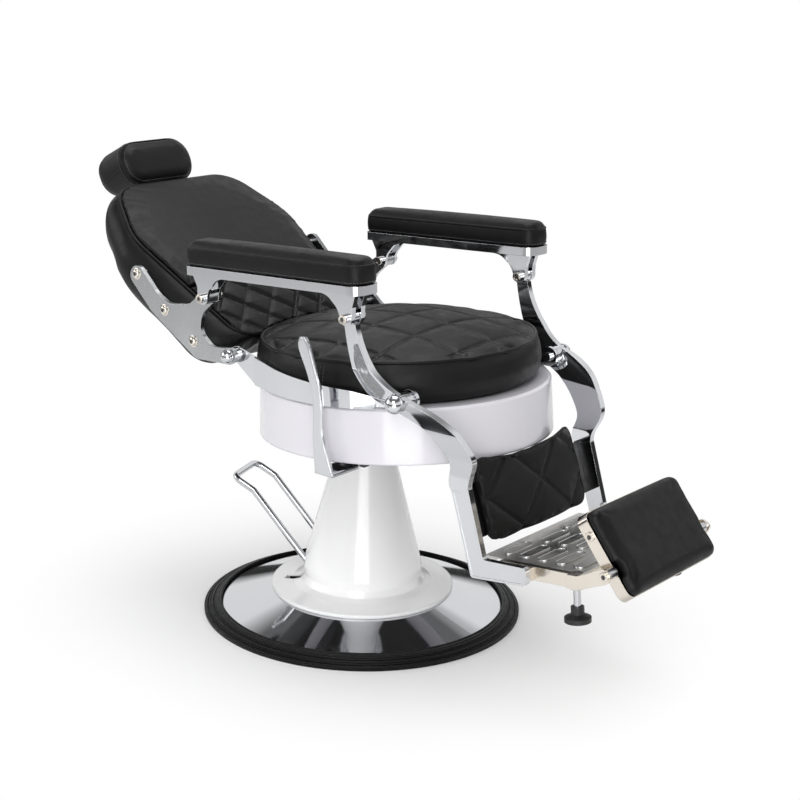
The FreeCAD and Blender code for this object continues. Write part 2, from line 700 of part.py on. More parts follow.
def seat_rail():
    """Right chrome rail round the cushion, folded to the rear pivot and stepped in at the front."""
    low, fold_top, front_top = rail_heights()
    rear_x, rear_h = local_xz(SEAT, REAR_X, REAR_Z)
    front_x, front_h = local_xz(SEAT, FRONT_X, FRONT_Z)
    half = RAIL_THICK / 2
    front_angle = -math.acos(RAIL_JOG_X / RAIL_R)
    fold_r = math.hypot(RAIL_FOLD_X, RAIL_FOLD_Y)
    fold_angle = -math.acos(RAIL_FOLD_X / fold_r)
    rear_angle = fold_angle + math.acos(RAIL_R / fold_r)

    def rim(radius, angle):
        return V(radius * math.cos(angle), radius * math.sin(angle), low)

    middle = (front_angle + rear_angle) / 2
    turn = V(math.cos(rear_angle), math.sin(rear_angle), 0)
    fold = V(RAIL_FOLD_X, -RAIL_FOLD_Y, low)
    outer_fold = fold + turn * half
    inner_fold = fold - turn * half
    wire = Part.Wire([
        Part.Arc(rim(RAIL_R + half, front_angle), rim(RAIL_R + half, middle),
                 rim(RAIL_R + half, rear_angle)).toShape(),
        Part.LineSegment(rim(RAIL_R + half, rear_angle), outer_fold).toShape(),
        Part.LineSegment(outer_fold, inner_fold).toShape(),
        Part.LineSegment(inner_fold, rim(RAIL_R - half, rear_angle)).toShape(),
        Part.Arc(rim(RAIL_R - half, rear_angle), rim(RAIL_R - half, middle),
                 rim(RAIL_R - half, front_angle)).toShape(),
        Part.LineSegment(rim(RAIL_R - half, front_angle), rim(RAIL_R + half, front_angle)).toShape()])
    band = Part.Face(wire).extrude(V(0, 0, RAIL_FOLD_HEIGHT))
    reach = RAIL_R * 2
    start_x = RAIL_FOLD_X - RAIL_THICK * 2
    end_x = front_x + RAIL_THICK * 4
    step_top = low + RAIL_STEP_HEIGHT
    above = side_plate([(start_x, fold_top, 0), (RAIL_JOG_X, front_top, 0), (RAIL_KNEE_X, step_top, 0),
                        (end_x, step_top, 0), (end_x, fold_top * 2, 0), (start_x, fold_top * 2, 0)],
                       -reach, 0)
    run = [rim(RAIL_R, front_angle), V(RAIL_KNEE_X, -RAIL_KNEE_Y, low),
           V(front_x - RAIL_END_RUN, -RAIL_END_Y, low), V(front_x, -RAIL_END_Y, low)]
    strips = [rod_z(half, low, fold_top, stop.x, stop.y) for stop in run]
    for start, end in zip(run, run[1:]):
        strips.append(strip(start, end, RAIL_THICK, RAIL_FOLD_HEIGHT))
    band = band.fuse(strips).cut(above)
    wing_y = -RAIL_FOLD_Y
    wing = side_plate([(RAIL_FOLD_X + half, low, 0), (RAIL_FOLD_X + half, fold_top, 0),
                       (rear_x, rear_h + RAIL_EYE_R, 0), (rear_x, rear_h - RAIL_EYE_R, 0)],
                      wing_y - half, wing_y + half)
    eye = rod_y(rear_x, rear_h, RAIL_EYE_R, wing_y - half, wing_y + half)
    lug = rod_y(front_x, front_h, RAIL_EYE_R + COLLAR, -FRONT_LUG_Y, -FRONT_LUG_Y + RAIL_EYE_THICK)
    parts = [wing, eye, lug]
    for angle in RAIL_TAB_ANGLES:
        tab = block((RAIL_R - RAIL_TAB_REACH, RAIL_R), (-RAIL_TAB_WIDTH / 2, RAIL_TAB_WIDTH / 2),
                    (low, low + RAIL_TAB_THICK))
        tab.rotate(V(0, 0, 0), UP, angle)
        parts.append(tab)
    rail = band.fuse(parts)
    rail = rail.cut(rod_y(rear_x, rear_h, REAR_PIN_R, -reach, 0))
    rail = rail.cut(rod_y(front_x, front_h, FRONT_PIN_R, -reach, 0))
    return placed(rail.removeSplitter(), SEAT)


def pivot_ball(x, z, radius, inner, lug, arm_in, arm_out, ball_r):
    """Pair of pivots: a pin through a lug, a collar, and a ball end outside the arm."""
    pin = rod_y(x, z, radius, -arm_out - ball_r, -inner)
    collar = rod_y(x, z, radius + COLLAR, -arm_in + FIT, -lug)
    face = arm_out + FIT
    low = ball_r * BALL_SEAT
    rim = math.sqrt(ball_r ** 2 - low ** 2)
    centre = V(x, -face - low, z)
    tip = centre - NORTH * ball_r
    seat = centre + NORTH * low
    curve = Part.Arc(tip, centre + EAST * ball_r, seat + EAST * rim).toShape()
    closing = Part.makePolygon([seat + EAST * rim, seat, tip])
    ball = Part.Face(Part.Wire([curve] + closing.Edges)).revolve(centre, NORTH, 360)
    return both_sides(pin.fuse([collar, ball]).removeSplitter())


def pivot_balls():
    """Rear and front pivots of both sides, with their chrome ball ends."""
    plate_half = SIDE_PLATE_THICK / 2
    rear = pivot_ball(REAR_X, REAR_Z, REAR_PIN_R, RAIL_FOLD_Y - RAIL_THICK, RAIL_FOLD_Y + RAIL_THICK / 2,
                      SIDE_PLATE_Y - plate_half, SIDE_PLATE_Y + plate_half, REAR_BALL_R)
    lug = FRONT_LUG_Y
    front = pivot_ball(FRONT_X, FRONT_Z, FRONT_PIN_R, lug - RAIL_EYE_THICK * 2, lug,
                       FRONT_HUB_IN, FRONT_ARM_Y + ARM_BAR_THICK / 2, FRONT_BALL_R)
    return Part.Compound([rear, front])


# Back

def back_corners(grow, drop):
    """Front-view outline of the back, grown at the sides and drawn in at top and bottom."""
    low = BACK_BOTTOM + drop * FOOT_SHARE
    top = BACK_TOP + grow * TOP_SPREAD - drop
    foot = min(BACK_FOOT_HALF + grow * FOOT_SPREAD, BACK_HALF + grow)
    wide = BACK_HALF + grow
    shoulder = BACK_TOP_HALF + grow * SHOULDER_SPREAD
    right = [(-foot, low, BACK_FOOT_ROUND), (-wide, BACK_WIDE - drop * WIDE_SHARE, BACK_WIDE_ROUND),
             (-shoulder, top, BACK_CORNER)]
    left = [(-y, z, radius) for y, z, radius in reversed(right)]
    return right + left


def seat_hollow():
    """Room that the back leaves for the round seat, in the back's own frame."""
    room = placed(cushion_solid(SEAT_CLEAR), SEAT)
    return placed(room, BACK.inverse())


def post_holes(radius, low, high):
    return both_sides(rod_z(radius, low, high, POST_N, POST_Y))


def back_shell():
    """Upholstered shell of the back: flared sides and a rounded rear."""
    wires = [front_wire(back_corners(grow, drop), level) for level, grow, drop in BACK_LEVELS]
    shell = Part.makeLoft(wires, True, True)
    shell = shell.cut(seat_hollow())
    shell = shell.cut(post_holes(SLEEVE_R + FIT, POST_FOOT - POST_R, BACK_TOP + SLEEVE_LENGTH))
    shell = shell.cut(both_sides(side_studs(FIT)))
    return placed(shell, BACK)


def back_front_body():
    """Domed front of the back, before it is divided at the seam."""
    face = Part.Face(front_wire(back_corners(-2, 0), BACK_FRONT + FIT))
    body = face.extrude(V(BACK_CROWN * 2, 0, 0))
    middle = (BACK_BOTTOM + BACK_TOP) / 2
    ball = Part.makeSphere(BACK_DISH, V(BACK_FRONT + BACK_CROWN - BACK_DISH, 0, middle))
    return body.common(ball).cut(seat_hollow())


def back_cushion():
    """Plain upper pad of the back."""
    above = block((BACK_FRONT, BACK_CROWN * 2), (-SIDE_PLATE_Y, SIDE_PLATE_Y),
                  (SEAM_U + SEAM_GAP, BACK_TOP))
    return placed(back_front_body().common(above), BACK)


def lumbar_cushion():
    """Quilted lower pad of the back."""
    below = block((BACK_FRONT, BACK_CROWN * 2), (-SIDE_PLATE_Y, SIDE_PLATE_Y), (0, SEAM_U))
    pad = back_front_body().common(below)
    middle = (BACK_BOTTOM + BACK_TOP) / 2
    face_front = FreeCAD.Placement(V(0, 0, 0), FreeCAD.Rotation(NORTH, 90))
    crest = V(-middle, 0, BACK_FRONT + BACK_CROWN)
    reach = BACK_TOP - BACK_BOTTOM
    grooves = channels(crest, BACK_DISH, LUMBAR_DIAMOND, reach * 0.72, (45, -45), face_front)
    return placed(cut_channels(pad, grooves), BACK)


def side_studs(grow):
    """Studs of the right side plate that carry the shell, with extra length for their holes."""
    inner = SIDE_PLATE_Y - SIDE_PLATE_THICK / 2
    return Part.Compound([rod_y(n, u, STUD_R, -inner, -inner + STUD_LENGTH + grow) for n, u in STUD_PLACES])


# Side plate outline in the back's frame: its eye and tip in radii of their bosses
PLATE_REAR_EDGE = ((-18, 322, 20), (-61, 322, 20), (-79, 225, 80), (-73, 70, 34))
PLATE_EYE = ((-0.7, -0.9, 8), (0.9, -0.3, 8))
PLATE_UNDER_EDGE = ((2, 22, 20), (-20, 50, 26), (-16, 92, 26), (20, 108, 40))
PLATE_TIP = ((-0.2, -1.0, 12), (1.0, -0.2, 9), (0.4, 1.0, 9))
PLATE_UPPER_EDGE = ((36, 140, 14), (12, 148, 30), (-30, 196, 50), (-34, 235, 60))


def back_side_plate():
    """Right chrome plate: a curved Y from the rear pivot to the bolts and the armrest."""
    tip_n, tip_u = local_xz(BACK, ARM_REAR_X, ARM_REAR_Z)
    inner = SIDE_PLATE_Y - SIDE_PLATE_THICK / 2
    outer = SIDE_PLATE_Y + SIDE_PLATE_THICK / 2
    eye = RAIL_EYE_R
    boss = TIP_BOSS_R
    corners = list(PLATE_REAR_EDGE)
    corners += [(n * eye, u * eye, radius) for n, u, radius in PLATE_EYE]
    corners += PLATE_UNDER_EDGE
    corners += [(tip_n + n * boss, tip_u + u * boss, radius) for n, u, radius in PLATE_TIP]
    corners += PLATE_UPPER_EDGE
    plate = side_plate(corners, -outer, -inner)
    eye_disc = rod_y(0, 0, eye, -outer, -inner)
    hub = rod_y(tip_n, tip_u, boss, -ARM_Y - CLEVIS_WIDTH / 2 + REAR_EAR + FIT,
                -ARM_Y + CLEVIS_WIDTH / 2 - REAR_EAR - FIT)
    plate = plate.fuse([eye_disc, hub] + side_studs(0).Solids)
    plate = plate.cut(rod_y(0, 0, REAR_PIN_R + RUN, -ARM_Y * 2, 0))
    plate = plate.cut(rod_y(tip_n, tip_u, ARM_PIN_R, -ARM_Y * 2, 0))
    return placed(plate.removeSplitter(), BACK)


def headrest_sleeves():
    low = BACK_TOP - SLEEVE_LENGTH
    sleeve = rod_z(SLEEVE_R, low, BACK_TOP + SLEEVE_R, POST_N, POST_Y)
    sleeve = sleeve.cut(rod_z(POST_R + RUN, low, BACK_TOP + SLEEVE_R, POST_N, POST_Y))
    return placed(both_sides(sleeve), BACK)


def headrest_posts():
    return placed(post_holes(POST_R, POST_FOOT, HEADREST_U), BACK)


def headrest_cushion():
    """Deep cushion with rounded corners, a seam round its front and a soft crown."""
    wires = []
    for level, inset in HEADREST_LEVELS:
        half = HEADREST_HALF - inset
        tall = HEADREST_TALL / 2 - inset
        radius = HEADREST_CORNER - inset
        wires.append(front_wire([(-half, -tall, radius), (half, -tall, radius),
                                 (half, tall, radius), (-half, tall, radius)], level))
    turn = FreeCAD.Placement(V(HEADREST_N, 0, HEADREST_U), FreeCAD.Rotation(NORTH, HEADREST_TURN))
    cushion = placed(Part.makeLoft(wires, True, True), turn)
    return placed(cushion.cut(post_holes(POST_R, BACK_TOP, HEADREST_U)), BACK)


# Armrests

def arm_plan(inset, z):
    """Plan outline of an armrest: squarish rear, rounded front."""
    half = ARM_WIDTH / 2 - inset
    rear, front = ARM_REAR + inset, ARM_FRONT - inset
    low, high = -ARM_Y - half, -ARM_Y + half
    share = half * 2 / ARM_WIDTH
    tight, wide = ARM_REAR_ROUND * share, ARM_FRONT_ROUND * share
    return rounded([(V(rear, low, z), tight), (V(front, low, z), wide),
                    (V(front, high, z), wide), (V(rear, high, z), tight)])


# Gussets of the armrest clevises, from a corner under the bar: x from the pivot, share of
# the bar's height above it and corner radius; the eye at the foot is added between them
FRONT_GUSSET = (((-88, 1.0, 0), (26, 1.0, 0), (17, 0.45, 14)), ((-15.4, 0.3, 40), (-46, 0.86, 40)))
REAR_GUSSET = (((-26, 1.0, 0), (72, 1.0, 0), (40, 0.8, 30), (15.4, 0.25, 30)), ((-12.6, 0.45, 16),))


def arm_ear(x, gusset, y_low, y_high, hole):
    """One curved gusset of a clevis, hung from the bar to a pivot at x."""
    ahead, behind = gusset
    eye_round = EAR_R * 0.95
    corners = [(x + dx, share * ARM_BAR_LOW, radius) for dx, share, radius in ahead]
    corners += [(x + EAR_R, -EAR_R, eye_round), (x - EAR_R, -EAR_R, eye_round)]
    corners += [(x + dx, share * ARM_BAR_LOW, radius) for dx, share, radius in behind]
    ear = side_plate(corners, y_low, y_high)
    return ear.cut(rod_y(x, 0, hole, y_low, y_high))


def arm_frame():
    """Right chrome bar of the armrest, with a clevis near each end."""
    bar = Part.Face(arm_plan(0, ARM_BAR_LOW)).extrude(V(0, 0, ARM_BAR))
    half = CLEVIS_WIDTH / 2
    parts = []
    for x, gusset, thick, hole in ((0.0, FRONT_GUSSET, FRONT_EAR, ARM_PIN_R + RUN),
                                   (-ARM_SPAN, REAR_GUSSET, REAR_EAR, ARM_PIN_R + OPEN_PIVOT)):
        parts.append(arm_ear(x, gusset, -ARM_Y - half, -ARM_Y - half + thick, hole))
        parts.append(arm_ear(x, gusset, -ARM_Y + half - thick, -ARM_Y + half, hole))
    return placed(bar.fuse(parts).removeSplitter(), ARM)


def arm_pad():
    """Right armrest pad: upright sides, seam edge and a soft crown."""
    low = ARM_BAR_LOW + ARM_BAR + FIT
    seam = low + PAD_SIDE
    levels = ((low, PAD_INSET), (low + PAD_SIDE * 0.5, 0.5), (seam, PAD_INSET),
              (seam + PAD_CROWN * 0.7, PAD_INSET + 7), (seam + PAD_CROWN, PAD_INSET + 13))
    wires = [arm_plan(inset, z) for z, inset in levels]
    return placed(Part.makeLoft(wires, True, True), ARM)


def arm_pins(x, place_z):
    """Right and left pivot pins of a clevis, with round heads."""
    half = CLEVIS_WIDTH / 2 + FIT
    pin = rod_y(x, place_z, ARM_PIN_R, -ARM_Y - half, -ARM_Y + half)
    heads = [rod_y(x, place_z, BOLT_HEAD_R, -ARM_Y - half - BOLT_HEAD, -ARM_Y - half),
             rod_y(x, place_z, BOLT_HEAD_R, -ARM_Y + half, -ARM_Y + half + BOLT_HEAD)]
    return both_sides(pin.fuse(heads).removeSplitter())


# Front arms

# Edges and panel of the front arm from the front pivot in the side view, and its lean as
# (y, height above the pivot)
FRONT_ARM_REAR_EDGE = (
    (-122.5, 140), (-107.5, 76), (-65.5, 2), (-4.5, -24), (32.5, -41), (77.5, -82), (93.5, -112),
    (87.5, -139), (94.5, -167))
FRONT_ARM_FRONT_EDGE = (
    (133.5, -155), (136.5, -135), (149.5, -97), (138.5, -69), (100.5, -26), (41.5, 4), (-12.5, 25),
    (-60.5, 68), (-94.5, 142))
FRONT_ARM_PANEL = (
    (-98.5, 108, 6), (-86.5, 104, 6), (-58.5, 54, 40), (-22.5, 20, 8), (-40.5, -2, 8),
    (-72.5, 24, 40), (-96.5, 69, 40))
FOOT_ARM_Y = FOOT_ARM_IN + FOOT_ARM_THICK / 2
FRONT_ARM_BEND = (
    (ARM_Y, 214.0), (ARM_Y, 54.0), (FRONT_ARM_Y, 4.0), (FOOT_ARM_Y + 27.0, -46.0),
    (FOOT_ARM_Y + 11.0, -94.0), (FOOT_ARM_Y, -136.0), (FOOT_ARM_Y, -206.0))


def from_pivot(points):
    """Side-view points given from the front pivot, with what follows each place kept."""
    return [(FRONT_X + x, FRONT_Z + z, *rest) for x, z, *rest in points]


def flowing_face(rear, front):
    """Side-view face between two flowing edges, the rear one drawn downwards."""
    back = Part.BSplineCurve()
    back.interpolate([V(x, 0, z) for x, z in rear])
    ahead = Part.BSplineCurve()
    ahead.interpolate([V(x, 0, z) for x, z in front])
    foot = Part.LineSegment(V(rear[-1][0], 0, rear[-1][1]), V(front[0][0], 0, front[0][1])).toShape()
    head = Part.LineSegment(V(front[-1][0], 0, front[-1][1]), V(rear[0][0], 0, rear[0][1])).toShape()
    return Part.Face(Part.Wire([back.toShape(), foot, ahead.toShape(), head]))


def bend_slab(thick):
    """Band of one thickness that leans in from the armrest to the footrest arm."""
    near, far = [], []
    count = len(FRONT_ARM_BEND)
    bend = [(y, FRONT_Z + rise) for y, rise in FRONT_ARM_BEND]
    for index, (y, z) in enumerate(bend):
        before = bend[max(index - 1, 0)]
        after = bend[min(index + 1, count - 1)]
        enter = V(0, y - before[0], z - before[1]) if index else V(0, after[0] - y, after[1] - z)
        leave = V(0, after[0] - y, after[1] - z) if index < count - 1 else enter
        enter.normalize()
        leave.normalize()
        normal = V(0, -enter.z - leave.z, enter.y + leave.y).normalize()
        stretch = thick / 2 / math.sqrt((1 + enter.dot(leave)) / 2)
        near.append((-(y + normal.y * stretch), z + normal.z * stretch, BEND_RADIUS))
        far.append((-(y - normal.y * stretch), z - normal.z * stretch, BEND_RADIUS))
    ends = {0, count - 1}
    first = [(y, z, 0 if i in ends else r * 0.5) for i, (y, z, r) in enumerate(near)]
    second = [(y, z, 0 if i in ends else r * 0.5) for i, (y, z, r) in enumerate(far)]
    return Part.Face(front_wire(first + second[::-1])).extrude(V(HINGE_X, 0, 0))


def front_arm():
    """Right S-shaped front arm with a sunk panel above the pivot ball."""
    reach = ARM_Y + OUTLINE_OVER
    outline = flowing_face(from_pivot(FRONT_ARM_REAR_EDGE), from_pivot(FRONT_ARM_FRONT_EDGE))
    outline.translate(V(0, -reach, 0))
    body = outline.extrude(V(0, reach, 0)).common(bend_slab(ARM_BAR_THICK))
    eye = rod_y(ARM_FRONT_X, ARM_FRONT_Z, EAR_R, -ARM_Y - ARM_BAR_THICK / 2, -ARM_Y + ARM_BAR_THICK / 2)
    face = FRONT_ARM_Y + ARM_BAR_THICK / 2
    hub = rod_y(FRONT_X, FRONT_Z, FRONT_HUB_R, -face, -FRONT_HUB_IN)
    spot = rod_y(FRONT_X, FRONT_Z, FRONT_BALL_R + FIT, -reach, -face)
    body = body.fuse([eye, hub]).cut(spot)
    cutter = side_plate(from_pivot(FRONT_ARM_PANEL), -reach, 0).common(bend_slab(ARM_BAR_THICK))
    skin = cutter.cut(bend_slab(ARM_BAR_THICK).translated(V(0, PANEL_DEPTH, 0)))
    body = body.cut(skin)
    body = body.cut(rod_y(FRONT_X, FRONT_Z, FRONT_PIN_R + RUN, -reach, 0))
    body = body.cut(rod_y(ARM_FRONT_X, ARM_FRONT_Z, ARM_PIN_R, -reach, 0))
    return body.removeSplitter()


FOOT_ARM_CORNERS = (
    (*FRONT_ARM_REAR_EDGE[-1], 2), (*FRONT_ARM_FRONT_EDGE[0], 2), (175.5, -288, 8), (275.5, -279, 8),
    (276.5, -315, 8), (148.5, -331, 6))


def footrest_arm():
    """Right L-shaped arm from the front arm's foot to the footplate frame."""
    inner, outer = FOOT_ARM_IN, FOOT_ARM_IN + FOOT_ARM_THICK
    corners = from_pivot(FOOT_ARM_CORNERS)
    arm = side_plate(corners, -outer, -inner)
    sunk = Part.Face(side_wire(corners)).makeOffset2D(-FOOT_ARM_EDGE)
    sunk.translate(V(0, -outer, 0))
    return arm.cut(sunk.extrude(V(0, FOOT_ARM_GROOVE, 0)))


# Footplate

def foot_frame():
    """Nickel frame: side rails, front bar, corner bosses and spacers to the footrest arms."""
    outer = FRAME_OUT
    inner = outer - FRAME_WALL
    top = FOOT_SHEET
    under = top - FRAME_HEIGHT
    rail = block((FRAME_START, FOOT_LENGTH), (-outer, -inner), (under, top))
    bar = block((FOOT_LENGTH - FRAME_WALL, FOOT_LENGTH), (-outer, outer), (under, top - FOOT_SHEET - FIT))
    spacer = block((SPACER_START, SPACER_END), (-FOOT_ARM_IN, -outer), (under, top - FOOT_SHEET))
    boss = rod_z(BOSS_R, under - BOSS_DROP, top, FOOT_LENGTH - BOSS_R, -outer + BOSS_R)
    frame = rail.fuse([mirrored(rail), bar, boss, mirrored(boss), spacer, mirrored(spacer)])
    bore = rod_z(STEM_R, under - BOSS_DROP, top - FOOT_CAP, FOOT_LENGTH - BOSS_R, -outer + BOSS_R)
    return placed(frame.cut([bore, mirrored(bore)]).removeSplitter(), FOOT)


def oval(x, y):
    """One raised oval of the tread, long across the plate."""
    side = OVAL_WIDTH / 2
    end = OVAL_LENGTH / 2
    corners = [(x - side, y - end), (x + side, y - end), (x + side, y + end), (x - side, y + end)]
    return plan_plate([(a, b, side * 0.98) for a, b in corners], FOOT_SHEET / 2, FOOT_SHEET + OVAL_RISE)


def footplate():
    """Stainless tread with staggered columns of raised ovals and turned-down edges."""
    half = FRAME_OUT - FRAME_WALL - FIT
    sheet = block((0, FOOT_LENGTH), (-half, half), (0, FOOT_SHEET))
    end = FOOT_LENGTH - FRAME_WALL - FIT
    flange = block((FRAME_START, end), (-half, -half + FOOT_SHEET), (-FOOT_FLANGE, 0))
    rear = block((0, FOOT_SHEET), (-half, half), (-FOOT_FLANGE, 0))
    parts = [flange, mirrored(flange), rear]
    for column in (-1, 0, 1):
        shift = OVAL_PITCH_X / 2 * (1 - abs(column))
        for step in range(OVAL_COUNT - 1 + abs(column)):
            parts.append(oval(OVAL_START + shift + OVAL_PITCH_X * step, OVAL_PITCH_Y * column))
    tread = sheet.fuse(parts)
    boss = rod_z(BOSS_R + FIT, -FRAME_HEIGHT, FOOT_SHEET * 2, FOOT_LENGTH - BOSS_R, -FRAME_OUT + BOSS_R)
    return placed(tread.removeSplitter().cut([boss, mirrored(boss)]), FOOT)


def hinge_arms():
    """Nickel arms from the frame's front corners to the flip pad's hinge."""
    hinge_x, hinge_z = local_xz(FOOT, HINGE_X, HINGE_Z)
    low, high = FRAME_OUT, FRAME_OUT + HINGE_ARM_THICK
    r = HINGE_EAR_R
    start = FOOT_LENGTH - BOSS_R * 2
    under = FOOT_SHEET - FRAME_HEIGHT
    arm = side_plate([(start, under, 4), (FOOT_LENGTH, under, 20),
                      (hinge_x + r * 0.4, hinge_z - r * 0.9, 10), (hinge_x + r, hinge_z + r * 0.2, 8),
                      (hinge_x - r * 0.2, hinge_z + r, 10), (FOOT_LENGTH, FOOT_SHEET, 20),
                      (start, FOOT_SHEET, 4)], -high, -low)
    return placed(both_sides(arm.cut(rod_y(hinge_x, hinge_z, HINGE_PIN_R, -high, -low))), FOOT)


def stem_top():
    return FOOT_SHEET - FOOT_CAP - STEM_TRAVEL


def foot_stems():
    """Screwed stems of the two anti-tip feet."""
    top = stem_top()
    stem = rod_z(STEM_R, top - STEM_LENGTH, top, FOOT_LENGTH - BOSS_R, -FRAME_OUT + BOSS_R)
    return placed(both_sides(stem), FOOT)


def foot_pads():
    """Round plastic feet with a neck, under the stems."""
    top = stem_top() - STEM_LENGTH
    low = top - PAD_FOOT_HEIGHT
    pad = spun([(0, low, 0), (PAD_FOOT_R, low, 0), (PAD_FOOT_R, low + PAD_FOOT_HEIGHT * 0.3, 0),
                (PAD_NECK_R, low + PAD_FOOT_HEIGHT * 0.5, 0), (PAD_NECK_R, top, 0), (0, top, 0)])
    pad.translate(V(FOOT_LENGTH - BOSS_R, -FRAME_OUT + BOSS_R, 0))
    return placed(both_sides(pad), FOOT)


# Flip pad

def flip_corners(inset):
    """Front outline of the flip pad."""
    half = FLIP_HALF - inset
    low, high = FLIP_LOW + inset, FLIP_HIGH - inset
    radius = FLIP_CORNER - inset
    return [(-half, low, radius), (half, low, radius), (half, high, radius), (-half, high, radius)]


def flip_pan():
    """Nickel tray behind the flip pad."""
    wall = PAN_WALL
    tray = Part.Face(front_wire(flip_corners(0), PAN_BACK)).extrude(V(PAN_FRONT - PAN_BACK, 0, 0))
    room = Part.Face(front_wire(flip_corners(wall), PAN_BACK + wall)).extrude(V(PAN_FRONT - PAN_BACK, 0, 0))
    tray = tray.cut(room)
    hinge = rod_y(0, 0, HINGE_PIN_R + RUN, -FLIP_HALF - 1, FLIP_HALF + 1)
    return placed(tray.cut(hinge), FLIP)


def flip_pad():
    """Padded face of the flip rest, notched at its sides for the hinge."""
    start = PAN_FRONT + FIT
    levels = ((start, 1.0), (start + FLIP_EDGE, 1.5), (start + FLIP_EDGE + FLIP_CROWN * 0.75, 8.0),
              (start + FLIP_EDGE + FLIP_CROWN, 16.0))
    wires = [front_wire(flip_corners(inset), x) for x, inset in levels]
    pad = Part.makeLoft(wires, True, True)
    reach = start + FLIP_EDGE + FLIP_CROWN
    edge = FLIP_HALF - NOTCH_DEPTH
    beyond = FLIP_HALF + NOTCH_DEPTH
    wire = front_wire([(edge, -NOTCH_HALF, 6), (beyond, -NOTCH_HALF * 1.5, 0),
                       (beyond, NOTCH_HALF * 1.5, 0), (edge, NOTCH_HALF, 6)])
    notch = Part.Face(wire).extrude(V(reach, 0, 0))
    return placed(pad.cut([notch, mirrored(notch)]), FLIP)


def hinge_pins():
    """Hinge pins of the flip pad, with spacer collars."""
    outer = FRAME_OUT + HINGE_ARM_THICK
    pin = rod_y(HINGE_X, HINGE_Z, HINGE_PIN_R, -outer, -FLIP_HALF + PAN_WALL + FIT)
    collar = rod_y(HINGE_X, HINGE_Z, HINGE_PIN_R + COLLAR, -FRAME_OUT, -FLIP_HALF - FIT)
    return both_sides(pin.fuse(collar).removeSplitter())


# Calf pad

def calf_corners(inset):
    half = CALF_HALF - inset
    low, high = inset, CALF_HIGH - inset
    radius = CALF_CORNER - inset * 0.5
    return [(-half, low, radius), (half, low, radius), (half, high, radius), (-half, high, radius)]


def rim_reach(y):
    """Distance from the front pivots to the skirt's lower rim, at one y."""
    rim = SEAT.multVec(V(math.sqrt(SKIRT_R ** 2 - y ** 2), 0, 0))
    return math.hypot(rim.x - FRONT_X, rim.z - FRONT_Z) + CALF_SWEEP_CLEAR


def calf_clearance():
    """Barrel of room for the skirt's rim, as the front arms swing about their pivots."""
    half = FOOT_ARM_IN
    axis = V(FRONT_X, 0, FRONT_Z)
    low, mid, high = [axis + V(0, y, rim_reach(y)) for y in (-half, 0, half)]
    closing = Part.makePolygon([high, axis + NORTH * half, axis - NORTH * half, low])
    face = Part.Face(Part.Wire([Part.Arc(low, mid, high).toShape()] + closing.Edges))
    return placed(face.revolve(axis, NORTH, 360), CALF.inverse())


def calf_ball_r():
    half = math.hypot(CALF_HALF, CALF_HIGH / 2)
    return (half ** 2 + CALF_CROWN ** 2) / (2 * CALF_CROWN)


def calf_pad():
    """Quilted calf pad with drawn-in sides and a domed front."""
    levels = ((-CALF_THICK, 6.0), (-CALF_THICK * 0.5, 0.0), (0.0, 4.0), (CALF_CROWN + 4, 5.0))
    wires = [front_wire(calf_corners(inset), x) for x, inset in levels]
    pad = Part.makeLoft(wires, True, True)
    ball_r = calf_ball_r()
    ball = Part.makeSphere(ball_r, V(CALF_CROWN - ball_r, 0, CALF_HIGH / 2))
    pad = pad.common(ball).cut(calf_clearance())
    face_front = FreeCAD.Placement(V(0, 0, 0), FreeCAD.Rotation(NORTH, 90))
    crest = V(-CALF_HIGH / 2, 0, CALF_CROWN)
    grooves = channels(crest, ball_r, CALF_DIAMOND, CALF_HALF * 1.1, (52, -52), face_front)
    return placed(cut_channels(pad, grooves), CALF)


def calf_board():
    """Black board behind the calf pad, held between the footrest arms."""
    rear = -CALF_THICK - FIT - CALF_BOARD_THICK
    half = FOOT_ARM_IN
    board = block((rear, -CALF_THICK - FIT), (-half, half), (CALF_BOARD_LOW, CALF_BOARD_HIGH))
    return placed(board.cut(calf_clearance()), CALF)


# Recline lever

LEVER_REAR_EDGE = (
    (-65, 263), (-69, 254), (-57, 216), (-38, 172), (-29, 126), (-29, 66), (-25, 21), (-23, -4))
LEVER_FRONT_EDGE = (
    (23, -4), (13, 21), (-3, 66), (-8, 126), (-15, 172), (-32, 218), (-47, 254), (-53, 263))


def recline_lever():
    """Chrome spoon handle that turns inwards to a shaft under the seat."""
    outline = flowing_face(LEVER_REAR_EDGE, LEVER_FRONT_EDGE)
    thick = LEVER_BAR_THICK
    outline.translate(V(LEVER_X, -LEVER_Y - thick / 2, LEVER_Z))
    handle = outline.extrude(V(0, thick, 0))
    half = LEVER_BAR_WIDTH / 2
    turn = block((LEVER_X - half, LEVER_X + half), (-LEVER_Y - thick / 2, -SKIRT_R + LEVER_BAR_WIDTH),
                 (LEVER_Z - thick / 2, LEVER_Z + thick / 2))
    shaft = rod_y(LEVER_X, LEVER_Z, LEVER_SHAFT_R, -SKIRT_R + LEVER_BAR_WIDTH / 2, -LEVER_SHAFT_END)
    heel, tip = CAM_R, CAM_TIP_HALF
    middle = -sum(LEVER_BRACKET_YS) / 2
    cam = side_plate([(LEVER_X - heel, LEVER_Z - heel, heel - 1), (LEVER_X + heel, LEVER_Z - heel, heel - 1),
                      (LEVER_X + tip, LEVER_Z + CAM_REACH, tip - 1),
                      (LEVER_X - tip, LEVER_Z + CAM_REACH, tip - 1)],
                     middle - CAM_THICK / 2, middle + CAM_THICK / 2)
    return handle.fuse([turn, shaft, cam]).removeSplitter()


